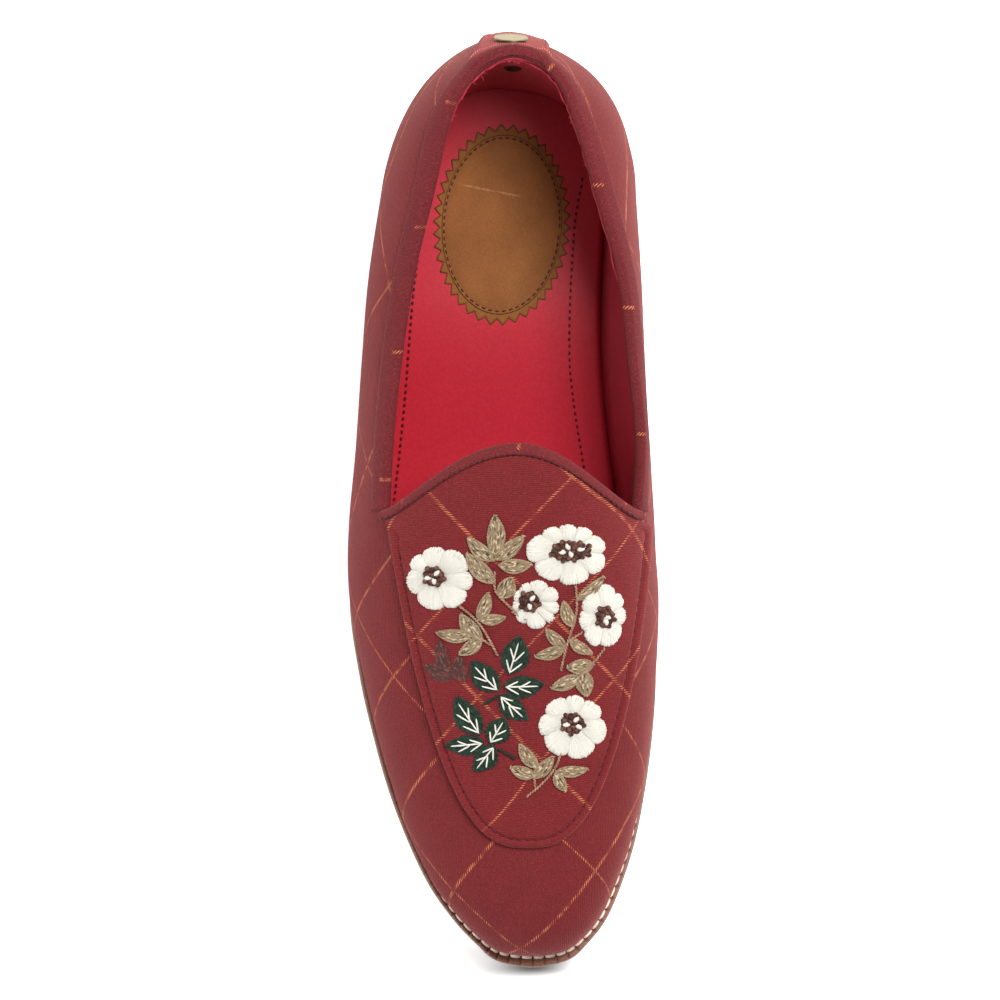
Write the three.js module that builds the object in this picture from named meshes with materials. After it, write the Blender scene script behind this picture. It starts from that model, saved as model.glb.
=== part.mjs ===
// A flat slip-on shoe for the right foot: cloth upper with a rounded apron on the vamp, stitched welt,
// thin outsole, stacked heel, insole with an oval heel pad, and a heel tab held by a round stud.
// Millimetres, +Z up. The toe points towards -Y, the medial (big toe) side is +X, and the shoe
// stands on z = 0 with its origin under the middle of its box.
import * as THREE from 'three';

// ---- Driving dimensions ---------------------------------------------------------------------------
const TOE_Y = -142.5; // foremost point of the upper
const CORNER_Y = -2; // throat corners, where the collar meets the vamp
const HEEL_Y = 100; // centre of the rounded heel
const HEEL_BACK = 45.7; // from that centre to the back of the counter
const HEEL_POWER = 1.8; // superellipse power of the heel's outline, a little more pointed than a circle
const COLLAR_X = 6; // middle of the collar above the heel
const COLLAR_BACK = 37.2; // from the heel centre to the back of the collar

const GAP = 0.3; // clearance between pieces that touch
const WALL = 2.2; // upper: cloth, stiffener and lining
const OUTSOLE = 4;
const WELT = 3;
const INSOLE = 4.3;
const TREAD_FRONT = -75; // the forefoot stands flat from here...
const TREAD_BACK = -40; // ...to here
const TOE_SPRING = 11.5; // rise of the sole at the tip...
const SPRING_RUN = 72; // ...over this length...
const SPRING_POWER = 1.7; // ...bending more towards the tip
const ARCH_BEND = 1.4; // the arch leaves the floor later the larger this is
const HEEL_SEAT = 17.5; // underside of the outsole above the heel
const BREAST_Y = 68; // front face of the heel
const TOP_LIFT = 6;
const HEEL_TAPER = 1.6; // the heel's foot is smaller than its top by this much

const FEATHER = OUTSOLE + WELT + 2 * GAP; // the upper's lower rim above the underside of the outsole
const VAMP_POWER = 2.3; // roundness of the vamp's cross sections
const TUCK_POWER = 1.6; // how the wall pulls in under its widest line

// Widest line of the upper in plan, with the crest of the vamp between the two sides.
const LAST = [
  { y: TOE_Y, ridge: 10, lat: 10, med: 10 },
  { y: -141, ridge: 10, lat: -0.6, med: 20.2 },
  { y: -138, ridge: 9.9, lat: -5.2, med: 24.7 },
  { y: -131, ridge: 9.6, lat: -12.7, med: 30.9 },
  { y: -120, ridge: 9, lat: -21, med: 36.2 },
  { y: -107, ridge: 8.3, lat: -27.8, med: 41 },
  { y: -92, ridge: 7.5, lat: -33.7, med: 44.5 },
  { y: -75, ridge: 6.8, lat: -38.6, med: 47.2 },
  { y: -54, ridge: 6.3, lat: -43.4, med: 48.8 },
  { y: -30, ridge: 6.4, lat: -47.2, med: 49.2 },
  { y: -5, ridge: 6.8, lat: -47.2, med: 48.3 },
  { y: 20, ridge: 6.6, lat: -45.1, med: 46.9 },
  { y: 45, ridge: 5.5, lat: -43, med: 45.7 },
  { y: 72, ridge: 4.4, lat: -40.7, med: 44.5 },
  { y: HEEL_Y, ridge: 3.1, lat: -36.4, med: 42.6 },
];

// Sole edge beyond the widest line, feather line inside it, and the widest line's height above the feather.
const FOOT = [
  { y: TOE_Y, edgeLat: 4.6, edgeMed: 4.6, tuckLat: 1.2, tuckMed: 1.2, riseLat: 7, riseMed: 7 },
  { y: -141, edgeLat: 4.5, edgeMed: 4.3, tuckLat: 1.2, tuckMed: 1.2, riseLat: 7.2, riseMed: 7.2 },
  { y: -138, edgeLat: 3.7, edgeMed: 3.4, tuckLat: 1.3, tuckMed: 1.3, riseLat: 7.8, riseMed: 7.8 },
  { y: -131, edgeLat: 3.1, edgeMed: 2.7, tuckLat: 1.5, tuckMed: 1.5, riseLat: 9, riseMed: 9 },
  { y: -120, edgeLat: 2.8, edgeMed: 2.1, tuckLat: 1.8, tuckMed: 1.8, riseLat: 11, riseMed: 11 },
  { y: -107, edgeLat: 2.5, edgeMed: 1.4, tuckLat: 2.2, tuckMed: 2, riseLat: 12, riseMed: 12 },
  { y: -75, edgeLat: 2.6, edgeMed: 0.5, tuckLat: 3, tuckMed: 2.8, riseLat: 13.5, riseMed: 13.5 },
  { y: -54, edgeLat: 2.6, edgeMed: 0.2, tuckLat: 3.2, tuckMed: 3.2, riseLat: 14, riseMed: 14 },
  { y: -30, edgeLat: 1.8, edgeMed: -1.5, tuckLat: 3.6, tuckMed: 4.8, riseLat: 14, riseMed: 15 },
  { y: -5, edgeLat: -0.6, edgeMed: -5.8, tuckLat: 5, tuckMed: 8.6, riseLat: 14, riseMed: 18 },
  { y: 20, edgeLat: -3.4, edgeMed: -9, tuckLat: 6.2, tuckMed: 11, riseLat: 14, riseMed: 22 },
  { y: 45, edgeLat: -5.5, edgeMed: -10.5, tuckLat: 7, tuckMed: 12, riseLat: 14, riseMed: 24 },
  { y: 72, edgeLat: -5, edgeMed: -9, tuckLat: 6.5, tuckMed: 10.5, riseLat: 14, riseMed: 22 },
  { y: HEEL_Y, edgeLat: -4, edgeMed: -5.5, tuckLat: 5.5, tuckMed: 7, riseLat: 15, riseMed: 17 },
];
const BACK_FOOT = { edge: -3.6, tuck: 5.2, rise: 17 }; // the same three at the back of the heel
const TOE_RISE = FOOT[0].riseLat;

// Height of the crest of the vamp, from the toe to the top of the throat arch.
const CREST = [
  { y: TOE_Y, z: soleBottom(TOE_Y) + FEATHER + TOE_RISE },
  { y: -141, z: 30.6 },
  { y: -138, z: 34.6 },
  { y: -131, z: 39.2 },
  { y: -120, z: 42.2 },
  { y: -107, z: 44.4 },
  { y: -92, z: 46.8 },
  { y: -75, z: 50.8 },
  { y: -54, z: 57.2 },
  { y: -30, z: 66 },
  { y: -5, z: 75.5 },
  { y: 20, z: 83 },
  { y: 45, z: 88 },
];

// Collar line: where the wall of the quarters ends, and how high.
const COLLAR = [
  { y: CORNER_Y, lat: -35.3, med: 43.8 },
  { y: 20, lat: -34, med: 45.2, zLat: 60.5, zMed: 57.5 },
  { y: 45, lat: -31, med: 42.6, zLat: 64, zMed: 62.5 },
  { y: 72, lat: -26.4, med: 39.2, zLat: 69.5, zMed: 69 },
  { y: HEEL_Y, lat: -19, med: 31, zLat: 77.5, zMed: 77.5 },
];
const COLLAR_BACK_Z = 86.5;

// Throat arch between the corners.
const THROAT = { x: 7, y: 18.2, bell: 1.43 }; // top of the arch, and how bell-shaped it is

// Apron on the vamp: half-width falls from the corners to a rounded end near the toe.
const APRON = { topY: -6, length: 101.2, half: 40, axis: 6.5, lean: 2.7, bend: 1.25, round: 0.375 };
const APRON_THICK = 1.6;
const APRON_GAP = 0.4;
const THROAT_INSET = 1.2; // the apron's sides stop this far short of the corners, its top twice as far

// On the counter, heights are shares of the way from the widest line up to the collar.
const TAB = { x: 5.2, half: 10.7, top: 0.95, foot: 0.04, round: 0.06, thick: 1.4, gap: 0.35 };
const STUD = { x: 4.6, radius: 5.3, thick: 1.3, height: 0.5 };
const PAD = { x: 0.5, y: 88.1, halfX: 21, halfY: 31.5, turn: 0.055, thick: 1.2 };

const COLLAR_POWER = 0.6; // the collar starts to climb early on its way round the heel

const MEDIAL = 1;
const LATERAL = -1;

// ---- Small helpers --------------------------------------------------------------------------------
const lerp = THREE.MathUtils.lerp;

// Runs evenly over the loop: the square root keeps the toe round when a table is read along it.
function along(y) {
  return Math.sqrt(Math.max(0, y - TOE_Y));
}

// Smooth curve through one column of a table: cubic pieces whose slopes are averaged at each row.
function read(table, column, y) {
  const at = table.map((row) => along(row.y));
  const value = table.map((row) => row[column]);
  const last = table.length - 1;
  const place = Math.min(Math.max(along(y), at[0]), at[last]);
  let i = 0;
  while (i < last - 1 && place > at[i + 1]) i += 1;
  const rise = (k) => (value[k + 1] - value[k]) / (at[k + 1] - at[k]);
  const slope = (k) => {
    if (k === 0) return rise(0);
    if (k === last) return rise(last - 1);
    const before = at[k] - at[k - 1];
    const after = at[k + 1] - at[k];
    return (rise(k - 1) * after + rise(k) * before) / (before + after);
  };
  const span = at[i + 1] - at[i];
  const f = (place - at[i]) / span;
  const ends = value[i] * (1 + 2 * f) * (1 - f) ** 2 + value[i + 1] * f * f * (3 - 2 * f);
  return ends + span * f * (1 - f) * (slope(i) * (1 - f) - slope(i + 1) * f);
}

const sided = (name, side) => name + (side === MEDIAL ? 'Med' : 'Lat');
const xName = (side) => (side === MEDIAL ? 'med' : 'lat');

// Underside of the outsole: flat at the ball, rising to the toe and through the arch to the heel seat.
function soleBottom(y) {
  if (y < TREAD_FRONT) return TOE_SPRING * ((TREAD_FRONT - y) / SPRING_RUN) ** SPRING_POWER;
  if (y < TREAD_BACK) return 0;
  const f = Math.min(1, (y - TREAD_BACK) / (BREAST_Y - TREAD_BACK)) ** ARCH_BEND;
  return HEEL_SEAT * (0.5 - 0.5 * Math.cos(Math.PI * f));
}

// Height of the widest line on one side.
function widestHeight(y, side) {
  return soleBottom(y) + FEATHER + read(FOOT, sided('rise', side), y);
}

// Vamp surface: superellipse sections from the widest line up to the crest.
function vampHeight(x, y) {
  const ridge = read(LAST, 'ridge', y);
  const side = x >= ridge ? MEDIAL : LATERAL;
  const half = Math.abs(read(LAST, xName(side), y) - ridge);
  const part = Math.min(1, Math.abs(x - ridge) / Math.max(half, 1e-6));
  const low = widestHeight(y, side);
  return low + (read(CREST, 'z', y) - low) * Math.sqrt(1 - part ** VAMP_POWER);
}

// ---- One side of the loop: v runs 0..1 along the vamp, 1..2 along the quarter, 2..3 round the heel ----
function stationY(v) {
  if (v <= 1) return TOE_Y + (CORNER_Y - TOE_Y) * v * v;
  return lerp(CORNER_Y, HEEL_Y, v - 1);
}

// Rounded back of an outline: a superellipse that goes on from the table's slope at the heel centre.
function heelArc(v, table, middle, back, side) {
  const angle = (Math.min(v, 3) - 2) * (Math.PI / 2);
  const column = xName(side);
  const start = read(table, column, HEEL_Y);
  const slope = start - read(table, column, HEEL_Y - 1);
  const share = Math.sin(angle) ** (2 / HEEL_POWER);
  const x = lerp(middle, start, Math.abs(Math.cos(angle)) ** (2 / HEEL_POWER));
  return new THREE.Vector2(x + slope * back * share * (1 - share) ** 2, HEEL_Y + back * share);
}

function widest(v, side) {
  if (v < 0) return widest(-v, -side);
  if (v > 3) return widest(6 - v, -side);
  if (v > 2) return heelArc(v, LAST, LAST.at(-1).ridge, HEEL_BACK, side);
  return new THREE.Vector2(read(LAST, xName(side), stationY(v)), stationY(v));
}

// Share of the way from the side of the heel to its back.
function backShare(v) {
  return v <= 2 ? 0 : Math.sin((v - 2) * (Math.PI / 2)) ** 2;
}

function footValue(name, v, side) {
  const value = read(FOOT, sided(name, side), Math.min(stationY(v), HEEL_Y));
  return lerp(value, BACK_FOOT[name], backShare(v));
}

// A point beside the widest line in plan, a distance outwards along its normal.
function beside(v, side, distance) {
  const step = 0.004;
  const run = widest(v + step, side).sub(widest(v - step, side)).normalize();
  const out = new THREE.Vector2(run.y * side, -run.x * side);
  return widest(v, side).addScaledVector(out, distance);
}

function archPoint(f, side) {
  const end = COLLAR[0][xName(side)];
  const bell = (1 - f * f) ** THROAT.bell;
  return new THREE.Vector2(lerp(THROAT.x, end, f), lerp(CORNER_Y, THROAT.y, bell));
}

// Upper end of a rib: on the throat arch for the vamp, on the collar line for the quarter and heel.
function topPoint(v, side) {
  if (v < 1) return archPoint(v, side);
  if (v > 2) return heelArc(v, COLLAR, COLLAR_X, COLLAR_BACK, side);
  return new THREE.Vector2(read(COLLAR, xName(side), stationY(v)), stationY(v));
}

function collarHeight(v, side) {
  const corner = vampHeight(COLLAR[0][xName(side)], CORNER_Y);
  const rows = COLLAR.map((row, i) => ({ y: row.y, z: i ? row[sided('z', side)] : corner }));
  return lerp(read(rows, 'z', Math.min(stationY(v), HEEL_Y)), COLLAR_BACK_Z, backShare(v) ** COLLAR_POWER);
}

// A point of the outer surface above the widest line: s = 0 there, 1 at the throat or collar.
function wallPoint(v, side, s) {
  const foot = widest(v, side);
  const top = topPoint(v, side);
  const at = foot.clone().lerp(top, s);
  if (v <= 1) return new THREE.Vector3(at.x, at.y, vampHeight(at.x, at.y));
  const middle = new THREE.Vector2(read(LAST, 'ridge', stationY(v)), Math.min(stationY(v), HEEL_Y));
  const topPart = top.distanceTo(middle) / foot.distanceTo(middle);
  const low = soleBottom(foot.y) + FEATHER + footValue('rise', v, side);
  const part = lerp(1, topPart, s);
  const grown = Math.sqrt((1 - part ** VAMP_POWER) / (1 - topPart ** VAMP_POWER));
  return new THREE.Vector3(at.x, at.y, low + (collarHeight(v, side) - low) * grown);
}

// A point of the outer surface below the widest line: h = 0 at the feather line, 1 at the widest.
function tuckPoint(v, side, h) {
  const feather = beside(v, side, -footValue('tuck', v, side));
  const high = wallPoint(v, side, 0);
  const at = feather.lerp(widest(v, side), 1 - (1 - h) ** TUCK_POWER);
  return new THREE.Vector3(at.x, at.y, lerp(soleBottom(at.y) + FEATHER, high.z, h));
}

// ---- Meshes ---------------------------------------------------------------------------------------
function solid(points, faces) {
  const geometry = new THREE.BufferGeometry();
  const numbers = points.flatMap((p) => p.toArray());
  geometry.setAttribute('position', new THREE.Float32BufferAttribute(numbers, 3));
  geometry.setIndex(faces.flat());
  let volume = 0;
  for (const [a, b, c] of faces) volume += points[a].dot(points[b].clone().cross(points[c]));
  if (volume < 0) geometry.setIndex(faces.map(([a, b, c]) => [a, c, b]).flat());
  geometry.computeVertexNormals();
  return geometry;
}

// Closed ring: one closed section of points for each place round the shoe.
function ring(sections) {
  const size = sections[0].length;
  const faces = [];
  for (let i = 0; i < sections.length; i += 1) {
    const next = (i + 1) % sections.length;
    for (let k = 0; k < size; k += 1) {
      const [a, b] = [i * size + k, next * size + k];
      const [c, d] = [next * size + ((k + 1) % size), i * size + ((k + 1) % size)];
      faces.push([a, b, c], [a, c, d]);
    }
  }
  return solid(sections.flat(), faces);
}

// Plate between a lower and an upper outline, each a list of [lateral, medial] pairs from end to end.
function plate(lower, upper) {
  const points = [];
  const number = (p) => points.push(p) - 1;
  const low = lower.map(([a, b]) => [number(a), number(b)]);
  const high = upper.map(([a, b]) => [number(a), number(b)]);
  const faces = [];
  const quad = (a, b, c, d) => faces.push([a, b, c], [a, c, d]);
  for (let i = 0; i + 1 < low.length; i += 1) {
    quad(low[i][0], low[i + 1][0], low[i + 1][1], low[i][1]);
    quad(high[i][1], high[i + 1][1], high[i + 1][0], high[i][0]);
    quad(low[i][1], low[i + 1][1], high[i + 1][1], high[i][1]);
    quad(high[i][0], high[i + 1][0], low[i + 1][0], low[i][0]);
  }
  const end = low.length - 1;
  quad(low[0][0], low[0][1], high[0][1], high[0][0]);
  quad(high[end][0], high[end][1], low[end][1], low[end][0]);
  return solid(points, faces);
}

const RING_POWER = 0.7; // rings lie closer together towards the outline, where the shoe curves most

// Thin patch over a surface: rings of points between a centre and an outline, under and over it.
function patch(outline, centre, rings, place) {
  const points = [];
  const faces = [];
  const layer = (high) => {
    const start = points.length;
    points.push(place(centre.x, centre.y, high));
    for (let r = 1; r <= rings; r += 1) {
      for (const p of outline) {
        const at = centre.clone().lerp(p, (r / rings) ** RING_POWER);
        points.push(place(at.x, at.y, high));
      }
    }
    return start;
  };
  const count = outline.length;
  const starts = [layer(false), layer(true)];
  const at = (start, r, j) => (r === 0 ? start : start + 1 + (r - 1) * count + (j % count));
  starts.forEach((start, upper) => {
    for (let r = 0; r < rings; r += 1) {
      for (let j = 0; j < count; j += 1) {
        const [a, b] = [at(start, r, j), at(start, r + 1, j)];
        const [c, d] = [at(start, r + 1, j + 1), at(start, r, j + 1)];
        const turned = upper ? [[a, b, c], [a, c, d]] : [[a, c, b], [a, d, c]];
        faces.push(...(r === 0 ? turned.slice(0, 1) : turned));
      }
    }
  });
  for (let j = 0; j < count; j += 1) {
    const [a, b] = [at(starts[0], rings, j), at(starts[0], rings, j + 1)];
    const [c, d] = [at(starts[1], rings, j + 1), at(starts[1], rings, j)];
    faces.push([a, b, c], [a, c, d]);
  }
  return solid(points, faces);
}

function piece(name, geometry, colour, roughness, metalness = 0) {
  const material = new THREE.MeshStandardMaterial({ color: colour, roughness, metalness });
  const mesh = new THREE.Mesh(geometry, material);
  mesh.name = name;
  return mesh;
}

// ---- Upper ----------------------------------------------------------------------------------------
const VAMP_RIBS = 26; // ribs on each side, toe to throat corner
const QUARTER_RIBS = 8;
const HEEL_RIBS = 8;
const TUCK_ROWS = 3;
const WALL_ROWS = 16;

// Places along one side, from the toe tip to the back of the heel.
function sidePlaces() {
  const places = [];
  for (let i = 0; i < VAMP_RIBS; i += 1) places.push((i / VAMP_RIBS) ** 0.8);
  for (let i = 0; i < QUARTER_RIBS; i += 1) places.push(1 + i / QUARTER_RIBS);
  for (let i = 0; i <= HEEL_RIBS; i += 1) places.push(2 + i / HEEL_RIBS);
  return places;
}

// Places round the whole shoe, against the clock seen from above, starting at the toe tip.
function loopPlaces() {
  const medial = sidePlaces().map((v) => [v, MEDIAL]);
  const lateral = sidePlaces().slice(1, -1).reverse().map((v) => [v, LATERAL]);
  return [...medial, ...lateral];
}

function outerRib(v, side) {
  const rib = [];
  for (let k = 0; k < TUCK_ROWS; k += 1) rib.push(tuckPoint(v, side, k / TUCK_ROWS));
  for (let k = 0; k <= WALL_ROWS; k += 1) rib.push(wallPoint(v, side, (k / WALL_ROWS) ** 1.7));
  return rib;
}

function upperGeometry() {
  const outer = loopPlaces().map(([v, side]) => outerRib(v, side));
  const count = outer.length;
  const rows = outer[0].length - 1;
  const sections = outer.map((rib, i) => {
    const before = outer[(i + count - 1) % count];
    const after = outer[(i + 1) % count];
    const inner = rib.map((point, k) => {
      const round = after[k].clone().sub(before[k]);
      const up = rib[Math.min(k + 1, rows)].clone().sub(rib[Math.max(k - 1, 0)]);
      return point.clone().addScaledVector(round.cross(up).normalize(), -WALL);
    });
    return [...rib, ...inner.reverse()];
  });
  return ring(sections);
}

// ---- Sole -----------------------------------------------------------------------------------------
function lift(point, height) {
  return new THREE.Vector3(point.x, point.y, soleBottom(point.y) + height);
}

function soleEdge(v, side, inset) {
  return beside(v, side, footValue('edge', v, side) - inset);
}

function featherEdge(v, side, inset) {
  return beside(v, side, -footValue('tuck', v, side) - inset);
}

// Pairs across the shoe for a plate, at one height above the sole's underside.
function pairs(edge, inset, height) {
  return sidePlaces().map((v) => {
    const both = [LATERAL, MEDIAL].map((side) => edge(v, side, inset));
    return both.map((p) => lift(p, height));
  });
}

// Both sides share one point at the tip and at the back: a plate ends in a short edge there instead.
const SHORT_EDGE = new THREE.Vector3(0.25, 0, 0);

function tipped(list) {
  return list.map(([a, b], i) => {
    if (i > 0 && i < list.length - 1) return [a, b];
    return [a.clone().sub(SHORT_EDGE), b.clone().add(SHORT_EDGE)];
  });
}

function outsoleGeometry() {
  return plate(tipped(pairs(soleEdge, 0.5, 0)), tipped(pairs(soleEdge, 0, OUTSOLE)));
}

const SEAM = WALL + 0.3; // from the feather line in to the welt's inner edge

function weltGeometry() {
  const [low, high] = [OUTSOLE + GAP, OUTSOLE + GAP + WELT];
  const sections = loopPlaces().map(([v, side]) => {
    const [outer, inner] = [soleEdge(v, side, 0), featherEdge(v, side, SEAM)];
    return [lift(outer, low), lift(outer, high), lift(inner, high), lift(inner, low)];
  });
  return ring(sections);
}

const INSOLE_LOW = OUTSOLE + GAP;
const INSOLE_HIGH = INSOLE_LOW + INSOLE;

function insoleGeometry() {
  const inset = SEAM + GAP;
  const layer = (height) => tipped(pairs(featherEdge, inset, height));
  return plate(layer(INSOLE_LOW), layer(INSOLE_HIGH));
}

function padGeometry() {
  const outline = [];
  for (let j = 0; j < 36; j += 1) {
    const angle = (j / 36) * 2 * Math.PI;
    const oval = new THREE.Vector2(PAD.halfX * Math.cos(angle), PAD.halfY * Math.sin(angle));
    outline.push(oval.rotateAround(new THREE.Vector2(), -PAD.turn).add(new THREE.Vector2(PAD.x, PAD.y)));
  }
  const place = (x, y, high) => {
    return new THREE.Vector3(x, y, soleBottom(y) + INSOLE_HIGH + GAP + (high ? PAD.thick : 0));
  };
  return patch(outline, new THREE.Vector2(PAD.x, PAD.y), 4, place);
}

// ---- Heel -----------------------------------------------------------------------------------------
function heelPairs(z, inset) {
  const first = 1 + (BREAST_Y - CORNER_Y) / (HEEL_Y - CORNER_Y);
  const places = [first, ...sidePlaces().filter((v) => v > first + 0.02)];
  const list = places.map((v, i) => {
    return [LATERAL, MEDIAL].map((side) => {
      const p = soleEdge(v, side, inset);
      return new THREE.Vector3(p.x, i ? p.y : BREAST_Y, z);
    });
  });
  const [a, b] = list.pop();
  return [...list, [a.sub(SHORT_EDGE), b.add(SHORT_EDGE)]];
}

function heelGeometry(low, high) {
  const inset = (z) => HEEL_TAPER * (1 - z / HEEL_SEAT);
  return plate(heelPairs(low, inset(low)), heelPairs(high, inset(high)));
}

// ---- Apron ----------------------------------------------------------------------------------------
function apronEdge(part, side) {
  const half = APRON.half * (1 - part ** APRON.bend) ** APRON.round;
  const axis = APRON.axis + APRON.lean * Math.sqrt(part);
  return new THREE.Vector2(axis + side * half, APRON.topY - APRON.length * part);
}

function apronOutline() {
  const outline = [];
  const steps = 16;
  const part = (i) => Math.sin((i / steps) * (Math.PI / 2)) ** 0.9;
  for (let i = 0; i <= steps; i += 1) outline.push(apronEdge(part(i), MEDIAL));
  for (let i = steps - 1; i >= 0; i -= 1) outline.push(apronEdge(part(i), LATERAL));
  const across = 18;
  const throat = [];
  for (let i = 0; i <= across; i += 1) {
    const f = Math.sin((i / across - 0.5) * Math.PI);
    const top = archPoint(Math.abs(f), f < 0 ? LATERAL : MEDIAL);
    throat.push(top.add(new THREE.Vector2(-f * THROAT_INSET, -2 * THROAT_INSET)));
  }
  const between = (p, q) => p.clone().lerp(q, 0.5);
  return [...outline, between(outline.at(-1), throat[0]), ...throat, between(throat.at(-1), outline[0])];
}

function vampNormal(x, y) {
  const step = 0.5;
  const dx = vampHeight(x + step, y) - vampHeight(x - step, y);
  const dy = vampHeight(x, y + step) - vampHeight(x, y - step);
  return new THREE.Vector3(-dx, -dy, 2 * step).normalize();
}

function apronGeometry() {
  const place = (x, y, high) => {
    const offset = APRON_GAP + (high ? APRON_THICK : 0);
    return new THREE.Vector3(x, y, vampHeight(x, y)).addScaledVector(vampNormal(x, y), offset);
  };
  return patch(apronOutline(), new THREE.Vector2(8, -44), 10, place);
}

// ---- Heel tab and stud ----------------------------------------------------------------------------
// A place on the counter at one x and a share s up the wall, and the normal there.
function counter(x, s) {
  const [low, high] = [LAST.at(-1), COLLAR.at(-1)];
  const middle = lerp(low.ridge, COLLAR_X, s);
  const side = x < middle ? LATERAL : MEDIAL;
  const foot = Math.abs(low[xName(side)] - low.ridge);
  const top = Math.abs(high[xName(side)] - COLLAR_X);
  const turn = Math.asin((Math.abs(x - middle) / lerp(foot, top, s)) ** (HEEL_POWER / 2));
  return wallPoint(3 - turn / (Math.PI / 2), side, s);
}

function counterNormal(x, s) {
  const step = 0.02;
  const across = counter(x - 0.5, s).sub(counter(x + 0.5, s));
  const up = counter(x, Math.min(1, s + step)).sub(counter(x, Math.max(0, s - step)));
  return across.cross(up).normalize();
}

function tabGeometry() {
  const columns = 12;
  const rows = 8;
  const points = [];
  const faces = [];
  const at = (layer, i, k) => (layer * (columns + 1) + i) * (rows + 1) + k;
  for (const offset of [TAB.gap, TAB.gap + TAB.thick]) {
    for (let i = 0; i <= columns; i += 1) {
      const across = -1 + (2 * i) / columns;
      const foot = TAB.foot + TAB.round * across ** 4;
      for (let k = 0; k <= rows; k += 1) {
        const s = lerp(foot, TAB.top, (k / rows) ** 1.5);
        const x = TAB.x + TAB.half * across;
        points.push(counter(x, s).addScaledVector(counterNormal(x, s), offset));
      }
    }
  }
  const quad = (a, b, c, d) => faces.push([a, b, c], [a, c, d]);
  for (let i = 0; i < columns; i += 1) {
    for (let k = 0; k < rows; k += 1) {
      quad(at(0, i, k), at(0, i, k + 1), at(0, i + 1, k + 1), at(0, i + 1, k));
      quad(at(1, i + 1, k), at(1, i + 1, k + 1), at(1, i, k + 1), at(1, i, k));
    }
    quad(at(1, i, 0), at(0, i, 0), at(0, i + 1, 0), at(1, i + 1, 0));
    quad(at(0, i, rows), at(1, i, rows), at(1, i + 1, rows), at(0, i + 1, rows));
  }
  for (let k = 0; k < rows; k += 1) {
    quad(at(0, 0, k), at(1, 0, k), at(1, 0, k + 1), at(0, 0, k + 1));
    quad(at(1, columns, k), at(0, columns, k), at(0, columns, k + 1), at(1, columns, k + 1));
  }
  return solid(points, faces);
}

function studMesh() {
  const radius = STUD.radius;
  const thick = STUD.thick;
  const profile = [[0, 0], [radius, 0], [radius, thick * 0.5], [radius * 0.9, thick], [0, thick]];
  const shape = new THREE.LatheGeometry(profile.map(([r, h]) => new THREE.Vector2(r, h)), 32);
  const mesh = piece('stud', shape, 0xb9a26a, 0.3, 1);
  const out = counterNormal(STUD.x, STUD.height);
  mesh.quaternion.setFromUnitVectors(new THREE.Vector3(0, 1, 0), out);
  mesh.position.copy(counter(STUD.x, STUD.height).addScaledVector(out, TAB.gap + TAB.thick + GAP));
  return mesh;
}

// ---- The shoe -------------------------------------------------------------------------------------
const shoe = new THREE.Group();
const cloth = 0x86383c;
shoe.add(piece('top_lift', heelGeometry(0, TOP_LIFT), 0x2b1d18, 0.8));
shoe.add(piece('heel_stack', heelGeometry(TOP_LIFT + GAP, HEEL_SEAT - GAP), 0x6b4531, 0.55));
shoe.add(piece('outsole', outsoleGeometry(), 0x6e4734, 0.6));
shoe.add(piece('welt', weltGeometry(), 0x7a4d3b, 0.6));
shoe.add(piece('insole', insoleGeometry(), 0xb92637, 0.45));
shoe.add(piece('heel_pad', padGeometry(), 0x8f5c2a, 0.85));
shoe.add(piece('upper', upperGeometry(), cloth, 0.95));
shoe.add(piece('apron', apronGeometry(), cloth, 0.95));
shoe.add(piece('heel_tab', tabGeometry(), cloth, 0.95));
shoe.add(studMesh());
export default shoe;
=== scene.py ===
# %% [markdown]
# # A slip-on shoe in maroon cloth
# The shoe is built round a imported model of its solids, which is loaded first and never changed. Each
# visible part is a surface worked out with numpy on a grid of two parameters, so a reader can follow
# how a last, a seam or a petal turns into a formula.

import bpy
import numpy as np
from mathutils import Matrix, Vector


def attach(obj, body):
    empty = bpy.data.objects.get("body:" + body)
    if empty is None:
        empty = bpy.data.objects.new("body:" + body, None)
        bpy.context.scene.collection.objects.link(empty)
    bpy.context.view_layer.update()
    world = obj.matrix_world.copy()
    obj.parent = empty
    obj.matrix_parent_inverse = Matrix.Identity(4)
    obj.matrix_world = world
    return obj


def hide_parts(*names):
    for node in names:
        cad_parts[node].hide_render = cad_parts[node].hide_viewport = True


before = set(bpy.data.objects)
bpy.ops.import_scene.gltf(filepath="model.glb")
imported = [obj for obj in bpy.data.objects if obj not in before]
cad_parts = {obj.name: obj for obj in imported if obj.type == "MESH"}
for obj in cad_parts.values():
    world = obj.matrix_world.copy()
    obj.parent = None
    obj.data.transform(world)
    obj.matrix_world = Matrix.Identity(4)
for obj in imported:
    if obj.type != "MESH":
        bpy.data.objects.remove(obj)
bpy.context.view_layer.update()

MM = 0.001  # all shapes below are in millimetres and become metres in their mesh
rng = np.random.default_rng(7)
print("nodes:", sorted(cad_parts))

# %% [markdown]
# ## The last as tables
# A shoemaker's last is measured at stations along its length. Each table has a row of values for each
# station, and one smooth curve runs through a column. The tables are those of the solids, so the fine
# surfaces lie on them, but for three small corrections: the sole's edge beside the toe tip, the collar
# line at the heel and the outer side of the heel tab.

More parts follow.
